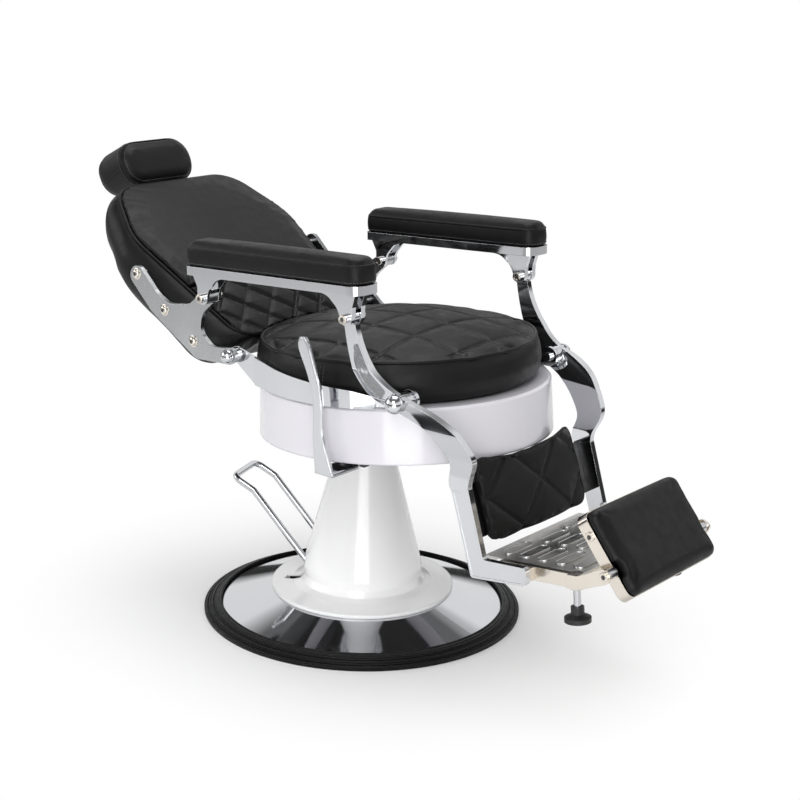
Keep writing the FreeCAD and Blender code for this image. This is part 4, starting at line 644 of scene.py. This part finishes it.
class CHAIR_OT_stage(bpy.types.Operator):
    """Make the floor, the light and the camera."""

    bl_idname = "chair.stage"
    bl_label = "Studio"

    # Camera fitted to the photograph: focal length and width in pixels, yaw, pitch and roll, place
    FOCAL, PICTURE_W = 1676.416, 800
    TURNS = (38.904, 15.891, 1.43)
    EYE = (2.24364, -2.66277, 1.46834)
    # Grey levels that the plating mirrors, from straight down at 0 to straight up at 1
    BANDS = ((0.44, 0.85), (0.48, 0.06), (0.55, 0.03), (0.60, 0.95), (0.78, 1.0), (0.84, 0.15))
    # Name, place, aim, size and power
    LAMPS = (("key", (1.4, -2.6, 3.0), (0.1, 0, 0.5), 1.6, 36.0),
             ("fill", (-2.6, -2.0, 1.8), (0, 0, 0.6), 1.8, 18.0),
             ("low", (1.9, -2.4, 0.6), (0.05, 0, 0.3), 1.5, 26.0),
             ("top", (-0.3, 0.6, 3.4), (0.1, 0, 0.5), 2.2, 50.0))

    def execute(self, context):
        scene = context.scene
        scene.view_settings.view_transform = "Standard"
        self.floor()
        self.world(scene)
        self.lamps(scene)
        self.camera(scene)
        return {"FINISHED"}

    def floor(self):
        """Pale disc that fades to white away from the chair."""
        work = bmesh.new()
        bmesh.ops.create_circle(work, cap_ends=True, radius=9.0, segments=96)
        mesh = baked(work, "studio_floor", smooth=False)
        ground = bpy.data.objects.new("studio_floor", mesh)
        bpy.context.scene.collection.objects.link(ground)
        material, tree, main = shader("studio_floor", colours().floor, 0.0, 0.7)
        main.inputs["Specular IOR Level"].default_value = 0.2
        where = place(tree)
        reach = node(tree, "ShaderNodeVectorMath", {0: where}, operation="LENGTH").outputs["Value"]
        far = spread(tree, reach, 0.12, 1.0, 0.34, 0.8)
        seen = node(tree, "ShaderNodeLightPath")
        shown = node(tree, "ShaderNodeMath", {0: seen.outputs["Is Camera Ray"], 1: far}, operation="MULTIPLY")
        white = node(tree, "ShaderNodeEmission", Color=(1, 1, 1, 1), Strength=1.0)
        mix = node(tree, "ShaderNodeMixShader", {0: shown.outputs["Value"], 1: main.outputs["BSDF"],
                                                 2: white.outputs["Emission"]})
        tree.links.new(mix.outputs["Shader"], tree.nodes["Material Output"].inputs["Surface"])
        mesh.materials.append(material)

    def world(self, scene):
        """Even light for surfaces, white behind the chair, and a banded studio in the plating."""
        world = bpy.data.worlds.new("studio")
        world.use_nodes = True
        scene.world = world
        tree = world.node_tree
        soft = tree.nodes["Background"]
        soft.inputs["Color"].default_value = (1, 1, 1, 1)
        soft.inputs["Strength"].default_value = 0.62
        way = node(tree, "ShaderNodeTexCoord").outputs["Generated"]
        parts = node(tree, "ShaderNodeSeparateXYZ", {"Vector": way})
        rise = spread(tree, parts.outputs["Z"], 0.0, 1.0, -1.0, 1.0)
        bands = node(tree, "ShaderNodeValToRGB", {"Fac": rise})
        stops = bands.color_ramp.elements
        stops[0].position, stops[0].color = 0.0, (0.8, 0.8, 0.8, 1)
        stops[1].position, stops[1].color = 1.0, (0.25, 0.25, 0.26, 1)
        for spot, level in self.BANDS:
            stops.new(spot).color = (level, level, level, 1)
        studio = node(tree, "ShaderNodeBackground", {"Color": bands.outputs["Color"]}, Strength=1.0)
        white = node(tree, "ShaderNodeBackground", Color=(1, 1, 1, 1), Strength=1.0)
        seen = node(tree, "ShaderNodeLightPath")
        shine = node(tree, "ShaderNodeMixShader", {0: seen.outputs["Is Glossy Ray"],
                                                   1: soft.outputs["Background"],
                                                   2: studio.outputs["Background"]})
        behind = node(tree, "ShaderNodeMath", {0: seen.outputs["Is Camera Ray"],
                                               1: seen.outputs["Is Transmission Ray"]}, operation="MAXIMUM")
        whole = node(tree, "ShaderNodeMixShader", {0: behind.outputs["Value"], 1: shine.outputs["Shader"],
                                                   2: white.outputs["Background"]})
        tree.links.new(whole.outputs["Shader"], tree.nodes["World Output"].inputs["Surface"])

    def lamps(self, scene):
        for name, spot, aim, size, power in self.LAMPS:
            lamp = bpy.data.lights.new(name, "AREA")
            lamp.shape = "SQUARE"
            lamp.size = size
            lamp.energy = power
            holder = bpy.data.objects.new(name, lamp)
            holder.location = spot
            holder.rotation_euler = (Vector(aim) - Vector(spot)).to_track_quat("-Z", "Y").to_euler()
            scene.collection.objects.link(holder)

    def camera(self, scene):
        lens = bpy.data.cameras.new("photo_view")
        lens.sensor_width = 36.0
        lens.lens = self.FOCAL / self.PICTURE_W * lens.sensor_width
        eye = bpy.data.objects.new("photo_view", lens)
        yaw, pitch, roll = (math.radians(a) for a in self.TURNS)
        look = Vector((-math.sin(yaw) * math.cos(pitch), math.cos(yaw) * math.cos(pitch), -math.sin(pitch)))
        across = Vector((math.cos(yaw), math.sin(yaw), 0))
        rise = across.cross(look)
        right = across * math.cos(roll) + rise * math.sin(roll)
        up = rise * math.cos(roll) - across * math.sin(roll)
        turn = Matrix((right, up, -look)).transposed().to_4x4()
        eye.matrix_world = Matrix.Translation(self.EYE) @ turn
        scene.collection.objects.link(eye)
        scene.camera = eye


class CHAIR_OT_finishes(bpy.types.Operator):
    """Give every rigid piece of the frame its finish."""

    bl_idname = "chair.finishes"
    bl_label = "Metal, Enamel and Rubber"

    OWN = {"seat_skirt": "skirt_enamel", "recline_lever": "round_chrome", "pump_pedal": "rod_chrome"}

    def execute(self, context):
        for part in frame["record"]["subparts"]:
            name, slot = part["node"], part["material_slot"]
            mesh = NODES[name].data
            mesh.materials.clear()
            mesh.materials.append(finish(self.OWN.get(name, slot)))
        return {"FINISHED"}


class CHAIR_OT_cover(bpy.types.Operator):
    """Make the pump cover: the solid's wall with its full taper, and the pedal's slots kept in place."""

    bl_idname = "chair.cover"
    bl_label = "Pump Cover"

    # Change of the wall's radius by height, and the heights at which the wall is cut for it
    HEIGHTS = (0.062, 0.105, 0.186, 0.283, 0.340, 0.380, 0.446)
    GROWTH = (0.0, 0.0162, 0.0043, -0.0098, -0.0179, -0.0219, -0.0204)
    CUTS = (0.145, 0.186, 0.283, 0.340, 0.380, 0.235, 0.312, 0.41)
    MOUTH_R = 0.048
    # Direction of the pedal, and where the hold on its slots ends to the side and upward
    PEDAL_ANGLE = 198.9
    SLOT_SIDE, SLOT_TOP = (0.045, 0.085), (0.13, 0.16)

    def execute(self, context):
        mesh = NODES["pump_cover"].data.copy()
        work = bmesh.new()
        work.from_mesh(mesh)
        for height in self.CUTS:
            bmesh.ops.bisect_plane(work, geom=work.verts[:] + work.edges[:] + work.faces[:], dist=1e-6,
                                   plane_co=(0, 0, height), plane_no=(0, 0, 1))
        work.to_mesh(mesh)
        work.free()
        points = points_of(mesh)
        reach = np.hypot(points[:, 0], points[:, 1])
        wanted = reach + np.interp(points[:, 2], self.HEIGHTS, self.GROWTH)
        wanted = np.maximum(wanted, np.minimum(reach, self.MOUTH_R))
        turn = math.radians(self.PEDAL_ANGLE)
        ahead = points[:, 0] * math.cos(turn) + points[:, 1] * math.sin(turn)
        aside = points[:, 1] * math.cos(turn) - points[:, 0] * math.sin(turn)
        near = 1 - smooth_step(np.abs(aside), *self.SLOT_SIDE)
        near *= (1 - smooth_step(points[:, 2], *self.SLOT_TOP)) * (ahead > 0)
        aside *= near + (1 - near) * wanted / reach
        ahead = np.sign(ahead) * np.sqrt(np.maximum(wanted ** 2 - aside ** 2, 0))
        points[:, 0] = ahead * math.cos(turn) - aside * math.sin(turn)
        points[:, 1] = ahead * math.sin(turn) + aside * math.cos(turn)
        set_points(mesh, points)
        piece = add_piece("cover_shell", mesh, "base", "white_enamel")
        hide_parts("pump_cover")
        return {"FINISHED"}


class CHAIR_OT_seat(bpy.types.Operator):
    """Make the round seat: dome with sewn squares and stitches, piping and the side seam."""

    bl_idname = "chair.seat"
    bl_label = "Seat Pad"

    CENTRE_X = -0.017
    RIM_R = 0.288
    RIM_H = 0.197
    CROWN = 0.044
    BALL_R = 0.9645
    SHIFT = 0.022
    SIDE_R, SIDE_LOW = 0.302, 0.122
    SEAM_ANGLE, SEAM_HALF = -81.5, 0.8

    def execute(self, context):
        pad = soft_blank("seat_pad", "seat_cushion", sizes().voxel * 0.8, 6)
        local = local_of(pad, SEAT)
        reach = np.hypot(local[:, 0] - self.CENTRE_X, local[:, 1])
        full = smooth_step(local[:, 2], self.RIM_H - 0.004, self.RIM_H + 0.004)
        full *= 1 - smooth_step(reach, self.RIM_R - 0.026, self.RIM_R - 0.01)
        local[:, 2] += full * np.maximum(self.dome(reach) - local[:, 2], 0)
        set_points(pad.data, moved(local, SEAT))
        gap = self.gaps(local)
        top = smooth_step(local[:, 2], self.RIM_H - 0.004, self.RIM_H + 0.004)
        rim = np.exp(-((reach - self.RIM_R) / 0.006) ** 2 - ((local[:, 2] - self.RIM_H) / 0.008) ** 2)
        sewn = np.maximum(rim, top * np.exp(-(gap / 0.005) ** 2))
        floor = 1 - smooth_step(local[:, 2], 0.116, 0.13)
        inflate(pad, 4.0, 0.004, np.maximum(sewn, floor))
        local = local_of(pad, SEAT)
        reach = np.hypot(local[:, 0] - self.CENTRE_X, local[:, 1])
        mask = smooth_step(local[:, 2], self.RIM_H - 0.002, self.RIM_H + 0.006)
        mask *= 1 - smooth_step(reach, self.RIM_R - 0.022, self.RIM_R - 0.004)
        crease(pad, self.gaps(local), mask, 0.003)
        dress(pad, "seat", ["seat_cushion"])
        self.rows(pad)
        ring = [self.spot(self.RIM_R, a, self.RIM_H)
                for a in np.linspace(0, 2 * math.pi, 180, endpoint=False)]
        add_piping("seat_piping", ring, pad, "seat")
        for index, turn in enumerate((self.SEAM_ANGLE - self.SEAM_HALF, self.SEAM_ANGLE + self.SEAM_HALF)):
            line = [self.spot(self.SIDE_R, math.radians(turn), h)
                    for h in np.linspace(self.SIDE_LOW, self.RIM_H - 0.006, 12)]
            add_stitches("seat_side_seam_%d" % index, line, pad, "seat", closed=False)
        return {"FINISHED"}

    def spot(self, reach, angle, height):
        """Point of the seat about its own axis."""
        return SEAT @ Vector((self.CENTRE_X + reach * math.cos(angle), reach * math.sin(angle), height))

    def dome(self, reach):
        """Height of the crown at a distance from its centre."""
        rise = np.sqrt(self.BALL_R ** 2 - np.minimum(reach, self.RIM_R) ** 2)
        return self.RIM_H + self.CROWN - self.BALL_R + rise

    def gaps(self, local):
        """Distance to the nearest sewn line, along or across the seat."""
        x, y = local[:, 0] - self.CENTRE_X, local[:, 1]
        step = sizes().seat_square
        return np.minimum(line_gap(x - self.SHIFT - step / 2, step), line_gap(y - step / 2, step))

    def rows(self, pad):
        """Stitches along the sewn lines."""
        step = sizes().seat_square
        end = self.RIM_R - 0.016
        for turn in range(-3, 4):
            for name, offset, ahead in (("along", turn * step, False),
                                        ("across", turn * step + self.SHIFT, True)):
                half = math.sqrt(max(end ** 2 - offset ** 2, 0))
                if half < 0.03:
                    continue
                line = []
                for a in np.linspace(-half, half, 40):
                    x, y = (offset, a) if ahead else (a, offset)
                    line.append(SEAT @ Vector((x + self.CENTRE_X, y, self.dome(math.hypot(x, y)))))
                add_stitches("seat_%s_%d" % (name, turn + 3), line, pad, "seat", closed=False, lift=0.0012)


class CHAIR_OT_back(bpy.types.Operator):
    """Make the back: shell cover, plain upper pad, quilted lower pad and piping."""

    bl_idname = "chair.back"
    bl_label = "Back Pads"

    MIDDLE = 0.293
    FACE = -0.015
    CORNERS = ((-0.196, 0.056, 0.05), (-0.244, 0.386, 0.14), (-0.176, 0.54, 0.085),
               (0.176, 0.54, 0.085), (0.244, 0.386, 0.14), (0.196, 0.056, 0.05))

    def execute(self, context):
        shell = soft_blank("back_cover", "back_shell", sizes().voxel * 1.4, 8)
        local = local_of(shell, BACK)
        front = np.exp(-((local[:, 0] - self.FACE) / 0.006) ** 2)
        inflate(shell, 3.0, 0.003, front)
        dress(shell, "back", ["back_shell"])
        upper = soft_blank("back_upper_pad", "back_cushion", sizes().voxel, 5)
        local = local_of(upper, BACK)
        inflate(upper, 2.0, 0.003, 1 - smooth_step(local[:, 0], -0.014, -0.004))
        dress(upper, "back", ["back_cushion"])
        lower = soft_blank("back_lower_pad", "lumbar_cushion", sizes().voxel * 0.8, 3)
        local = local_of(lower, BACK)
        sewn = np.exp(-(self.gaps(local) / 0.004) ** 2)
        base = 1 - smooth_step(local[:, 0], -0.014, -0.006)
        inflate(lower, 4.0, 0.005, np.maximum(sewn, base))
        local = local_of(lower, BACK)
        mask = smooth_step(local[:, 0], -0.012, -0.004)
        crease(lower, self.gaps(local), mask, 0.0015)
        dress(lower, "back", ["lumbar_cushion"])
        line = [BACK @ Vector((self.FACE, p.x, p.y)) for p in outline(self.CORNERS, 10)]
        add_piping("back_piping", line, None, "back")
        return {"FINISHED"}

    def gaps(self, local):
        u, y = local[:, 2] - self.MIDDLE, local[:, 1]
        step = sizes().lumbar_diamond
        return np.minimum(line_gap((u + y) / math.sqrt(2), step), line_gap((y - u) / math.sqrt(2), step))


class CHAIR_OT_headrest(bpy.types.Operator):
    """Make the headrest pad with the seam round its face and the seams of its sides."""

    bl_idname = "chair.headrest"
    bl_label = "Headrest"

    SEAM = 0.040
    HALF, TALL, ROUND = 0.1045, 0.050, 0.0455

    def execute(self, context):
        pad = soft_blank("headrest_pad", "headrest_cushion", sizes().voxel * 0.8, 5)
        local = local_of(pad, HEADREST)
        seam = np.exp(-((local[:, 0] - self.SEAM) / 0.004) ** 2)
        rear = 1 - smooth_step(local[:, 0], -0.056, -0.048)
        inflate(pad, 4.0, 0.006, np.maximum(seam, rear))
        dress(pad, "headrest", ["headrest_cushion"])
        add_piping("headrest_piping", self.ring(self.SEAM, 0.0), pad, "headrest", radius=0.0022)
        for name, level, inset in (("face", self.SEAM + 0.008, 0.006), ("side", self.SEAM - 0.007, -0.001)):
            add_stitches("headrest_stitches_" + name, self.ring(level, inset), pad, "headrest")
        for name, side in SIDES:
            line = [HEADREST @ Vector((a, side * 0.11, -0.006 - 0.12 * (self.SEAM - a)))
                    for a in np.linspace(self.SEAM, -0.05, 16)]
            add_piping("headrest_seam_" + name, line, pad, "headrest", closed=False, lift=0.0, radius=0.0016)
        return {"FINISHED"}

    def ring(self, level, inset):
        half, tall, turn = self.HALF - inset, self.TALL - inset, self.ROUND - inset
        corners = ((-half, -tall, turn), (half, -tall, turn), (half, tall, turn), (-half, tall, turn))
        return [HEADREST @ Vector((level, p.x, p.y)) for p in outline(corners, 10)]


class CHAIR_OT_arm_pads(bpy.types.Operator):
    """Make the two armrest pads with their piping."""

    bl_idname = "chair.arm_pads"
    bl_label = "Armrest Pads"

    REAR, FRONT = -0.418, 0.046
    HALF = 0.0365
    REAR_ROUND, FRONT_ROUND = 0.013, 0.028
    SEAM, HEM = 0.1043, 0.0735
    MIDDLE_Y = 0.285

    def execute(self, context):
        for name, side in SIDES:
            body = "armrest_" + name
            pad = soft_blank("arm_cover_" + name, "arm_pad_" + name, sizes().voxel * 0.8, 4)
            local = local_of(pad, ARM)
            seam = np.exp(-((local[:, 2] - self.SEAM) / 0.004) ** 2)
            base = 1 - smooth_step(local[:, 2], 0.069, 0.075)
            inflate(pad, 3.5, 0.004, np.maximum(seam, base))
            dress(pad, body, ["arm_pad_" + name])
            y = side * self.MIDDLE_Y
            line = outline(((self.REAR, y - self.HALF, self.REAR_ROUND),
                            (self.FRONT, y - self.HALF, self.FRONT_ROUND),
                            (self.FRONT, y + self.HALF, self.FRONT_ROUND),
                            (self.REAR, y + self.HALF, self.REAR_ROUND)))
            ring = [ARM @ Vector((p.x, p.y, self.SEAM)) for p in line]
            add_piping("arm_piping_" + name, ring, pad, body, radius=0.0026)
            foot = [ARM @ Vector((p.x, p.y, self.HEM)) for p in line]
            add_stitches("arm_stitches_" + name, foot, pad, body)
        return {"FINISHED"}


class CHAIR_OT_calf_pad(bpy.types.Operator):
    """Make the calf pad with its sewn diamonds and piping."""

    bl_idname = "chair.calf_pad"
    bl_label = "Calf Pad"

    HIGH, HALF = 0.172, 0.161
    MARGIN, ROUND = 0.004, 0.02
    CROWN = 0.016
    BALL_R = 1.09
    SHIFT = 0.01

    def execute(self, context):
        pad = soft_blank("calf_quilt", "calf_pad", sizes().voxel * 0.8, 3)
        local = local_of(pad, CALF)
        rise = local[:, 2] - self.HIGH / 2
        face = self.CROWN - self.BALL_R + np.sqrt(self.BALL_R ** 2 - local[:, 1] ** 2 - rise ** 2)
        edge = np.minimum(self.HALF - np.abs(local[:, 1]), self.HIGH / 2 - self.MARGIN - np.abs(rise))
        full = smooth_step(edge, 0.002, 0.009) * smooth_step(local[:, 0], -0.008, -0.003)
        local[:, 0] += full * np.maximum(face - local[:, 0], 0)
        set_points(pad.data, moved(local, CALF))
        front = smooth_step(local[:, 0], -0.004, 0.002)
        sewn = front * np.exp(-(self.gaps(local) / 0.005) ** 2)
        rear = 1 - smooth_step(local[:, 0], -0.016, -0.01)
        inflate(pad, 4.0, 0.006, np.maximum(sewn, rear))
        local = local_of(pad, CALF)
        crease(pad, self.gaps(local), smooth_step(local[:, 0], -0.004, 0.004), 0.002)
        dress(pad, "front_frame", ["calf_pad"])
        low, high, turn = self.MARGIN, self.HIGH - self.MARGIN, self.ROUND
        line = outline(((-self.HALF, low, turn), (self.HALF, low, turn),
                        (self.HALF, high, turn), (-self.HALF, high, turn)))
        ring = [CALF @ Vector((0.0, p.x, p.y)) for p in line]
        add_piping("calf_piping", ring, pad, "front_frame", radius=0.0026)
        return {"FINISHED"}

    def gaps(self, local):
        u, y = local[:, 2] - self.HIGH / 2, local[:, 1]
        slope = math.radians(sizes().calf_slope)
        step = sizes().calf_diamond
        one = math.sin(slope) * u + math.cos(slope) * y
        two = math.cos(slope) * y - math.sin(slope) * u
        start = self.SHIFT + step / 2
        return np.minimum(line_gap(one - start, step), line_gap(two - start, step))


class CHAIR_OT_flip_pad(bpy.types.Operator):
    """Make the padded face of the flip rest."""

    bl_idname = "chair.flip_pad"
    bl_label = "Flip Pad"

    def execute(self, context):
        pad = soft_blank("flip_cover", "flip_pad", sizes().voxel * 0.8, 4)
        local = local_of(pad, FLIP)
        inflate(pad, 2.0, 0.002, 1 - smooth_step(local[:, 0], 0.006, 0.012))
        dress(pad, "flip_rest", ["flip_pad"])
        return {"FINISHED"}


class CHAIR_OT_arm_panels(bpy.types.Operator):
    """Make the hammered panels sunk in the front arms."""

    bl_idname = "chair.arm_panels"
    bl_label = "Front Arm Panels"

    EDGE = ((0.212, 0.694, 0.006), (0.224, 0.690, 0.006), (0.252, 0.640, 0.04), (0.288, 0.606, 0.008),
            (0.270, 0.584, 0.008), (0.238, 0.610, 0.04), (0.214, 0.655, 0.04))
    INSET, SUNK = 0.03, 0.0008

    def execute(self, context):
        for name, side in SIDES:
            work = bmesh.new()
            rim = outline(self.EDGE, 5)
            middle = sum(rim, Vector((0, 0))) / len(rim)
            line = [p.lerp(middle, self.INSET) for p in rim]
            face = work.faces.new([work.verts.new((p.x, 0, p.y)) for p in line])
            bmesh.ops.triangulate(work, faces=[face])
            bmesh.ops.subdivide_edges(work, edges=work.edges[:], cuts=3, use_grid_fill=True)
            for vert in work.verts:
                vert.co.y = side * (self.outer(vert.co.z) - self.SUNK)
            mesh = baked(work, "arm_panel_" + name, smooth=False)
            add_piece("arm_panel_" + name, mesh, "front_frame", "hammered_panel")
        return {"FINISHED"}

    def outer(self, z):
        """Outer face of the front arm at a height."""
        lean = max(0.0, min(1.0, (0.64 - z) / 0.05))
        return 0.285 - 0.015 * lean + 0.007


class CHAIR_OT_tread(bpy.types.Operator):
    """Make the polished lips of the footplate's raised ovals."""

    bl_idname = "chair.tread"
    bl_label = "Tread Lips"

    LONG, WIDE = 0.0835, 0.0255
    PITCH_X, PITCH_Y, START = 0.042, 0.102, 0.032
    TOP, LIP_R = 0.0046, 0.001

    def execute(self, context):
        work = bmesh.new()
        for column in (-1, 0, 1):
            for step in range(4 + abs(column)):
                x = self.START + self.PITCH_X * (step + (1 - abs(column)) / 2)
                part = tube_mesh("lip", self.oval(x, self.PITCH_Y * column), self.LIP_R, True, 6)
                work.from_mesh(part)
                bpy.data.meshes.remove(part)
        mesh = baked(work, "tread_lips")
        add_piece("tread_lips", mesh, "front_frame", "bright_chrome")
        return {"FINISHED"}

    def oval(self, x, y):
        a, b = self.WIDE / 2, self.LONG / 2
        turn = a * 0.998
        line = outline(((x - a, y - b, turn), (x + a, y - b, turn),
                        (x + a, y + b, turn), (x - a, y + b, turn)), 8)
        return [FOOT @ Vector((p.x, p.y, self.TOP)) for p in line]


class CHAIR_OT_fasteners(bpy.types.Operator):
    """Make the bolts of the side plates, clevises, hinge and tray."""

    bl_idname = "chair.fasteners"
    bl_label = "Bolts and Screws"

    BUTTON = ((0.0125, 0.0), (0.0125, 0.0012), (0.0116, 0.0018), (0.0098, 0.0018), (0.0096, 0.0034),
              (0.0082, 0.0056), (0.0058, 0.0068), (0.0044, 0.0070), (0.0042, 0.0066), (0.0040, 0.0030),
              (0.0008, 0.0030))
    SOCKET = ((0.0095, 0.0), (0.0095, 0.0034), (0.0086, 0.0044), (0.0048, 0.0044), (0.0042, 0.0042),
              (0.0040, 0.0008), (0.0008, 0.0008))
    # Dark disc laid in each hex socket as painted shade of its hollow, and how deep it lies in a button head
    # and in a socket head
    SOCKET_SHADE = ((0.0042, 0.0), (0.0042, 0.0004), (0.0006, 0.0004))
    BUTTON_DEPTH, SOCKET_DEPTH = 0.0058, 0.0034
    PLATE_BOLTS = ((-0.040, 0.304), (-0.049, 0.197), (-0.047, 0.096))
    PLATE_Y = 0.282
    PIVOTS = (("front_frame", 0.202, 0.739), ("back", -0.187, 0.718))
    CLEVIS_IN, CLEVIS_OUT = 0.2587, 0.3113
    HINGE = (0.737, 0.186, 0.322)
    TRAY = (-0.008, 0.154, 0.078)

    def execute(self, context):
        bolts, trays = [], []
        sockets = {"front_frame": [], "back": []}
        for name, side in SIDES:
            way = Vector((0, side, 0))
            for n, u in self.PLATE_BOLTS:
                bolts.append((BACK @ Vector((n, side * self.PLATE_Y, u)), way))
            for body, x, z in self.PIVOTS:
                sockets[body].append((Vector((x, side * self.CLEVIS_OUT, z)), way))
                sockets[body].append((Vector((x, side * self.CLEVIS_IN, z)), -way))
            x, y, z = self.HINGE
            sockets["front_frame"].append((Vector((x, side * y, z)), way))
            x, y, z = self.TRAY
            trays.append((FLIP @ Vector((x, side * y, z)), way))
        self.group("side_plate_bolts", self.BUTTON, bolts, "back", 8, self.BUTTON_DEPTH)
        for body, spots in sockets.items():
            self.group("clevis_screws_" + body, self.SOCKET, spots, body, 4, self.SOCKET_DEPTH)
        self.group("tray_screws", self.SOCKET, trays, "flip_rest", 4, self.SOCKET_DEPTH)
        return {"FINISHED"}

    def group(self, name, profile, spots, body, hex_from, depth):
        """Nickel heads, with a dark disc in each hex socket as painted shade."""
        fastener_piece(name, profile, spots, body, "warm_nickel", hex_from=hex_from)
        # Dark discs inside the sockets: painted shade.
        socket_shades = [(centre + way * depth, way) for centre, way in spots]
        fastener_piece(name + "_painted_socket_shade", self.SOCKET_SHADE, socket_shades, body, "dark_steel", sides=12)


class CHAIR_PT_panel(bpy.types.Panel):
    """Buttons for the chair's pieces."""

    bl_idname = "CHAIR_PT_panel"
    bl_label = "Barber Chair"
    bl_space_type = "VIEW_3D"
    bl_region_type = "UI"
    bl_category = "Chair"

    def draw(self, context):
        for operator in OPERATORS:
            self.layout.operator(operator.bl_idname)


OPERATORS = (CHAIR_OT_stage, CHAIR_OT_finishes, CHAIR_OT_cover, CHAIR_OT_seat, CHAIR_OT_back,
             CHAIR_OT_headrest, CHAIR_OT_arm_pads, CHAIR_OT_calf_pad, CHAIR_OT_flip_pad,
             CHAIR_OT_arm_panels, CHAIR_OT_tread, CHAIR_OT_fasteners)
CLASSES = (ChairSizes, ChairColours, *OPERATORS, CHAIR_PT_panel)


def register():
    for kind in CLASSES:
        bpy.utils.register_class(kind)
    bpy.types.Scene.chair_sizes = PointerProperty(type=ChairSizes)
    bpy.types.Scene.chair_colours = PointerProperty(type=ChairColours)


def unregister():
    del bpy.types.Scene.chair_colours
    del bpy.types.Scene.chair_sizes
    for kind in reversed(CLASSES):
        bpy.utils.unregister_class(kind)


def main():
    register()
    for operator in OPERATORS:
        group, action = operator.bl_idname.split(".")
        getattr(getattr(bpy.ops, group), action)()
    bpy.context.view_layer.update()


if __name__ == "__main__":
    main()
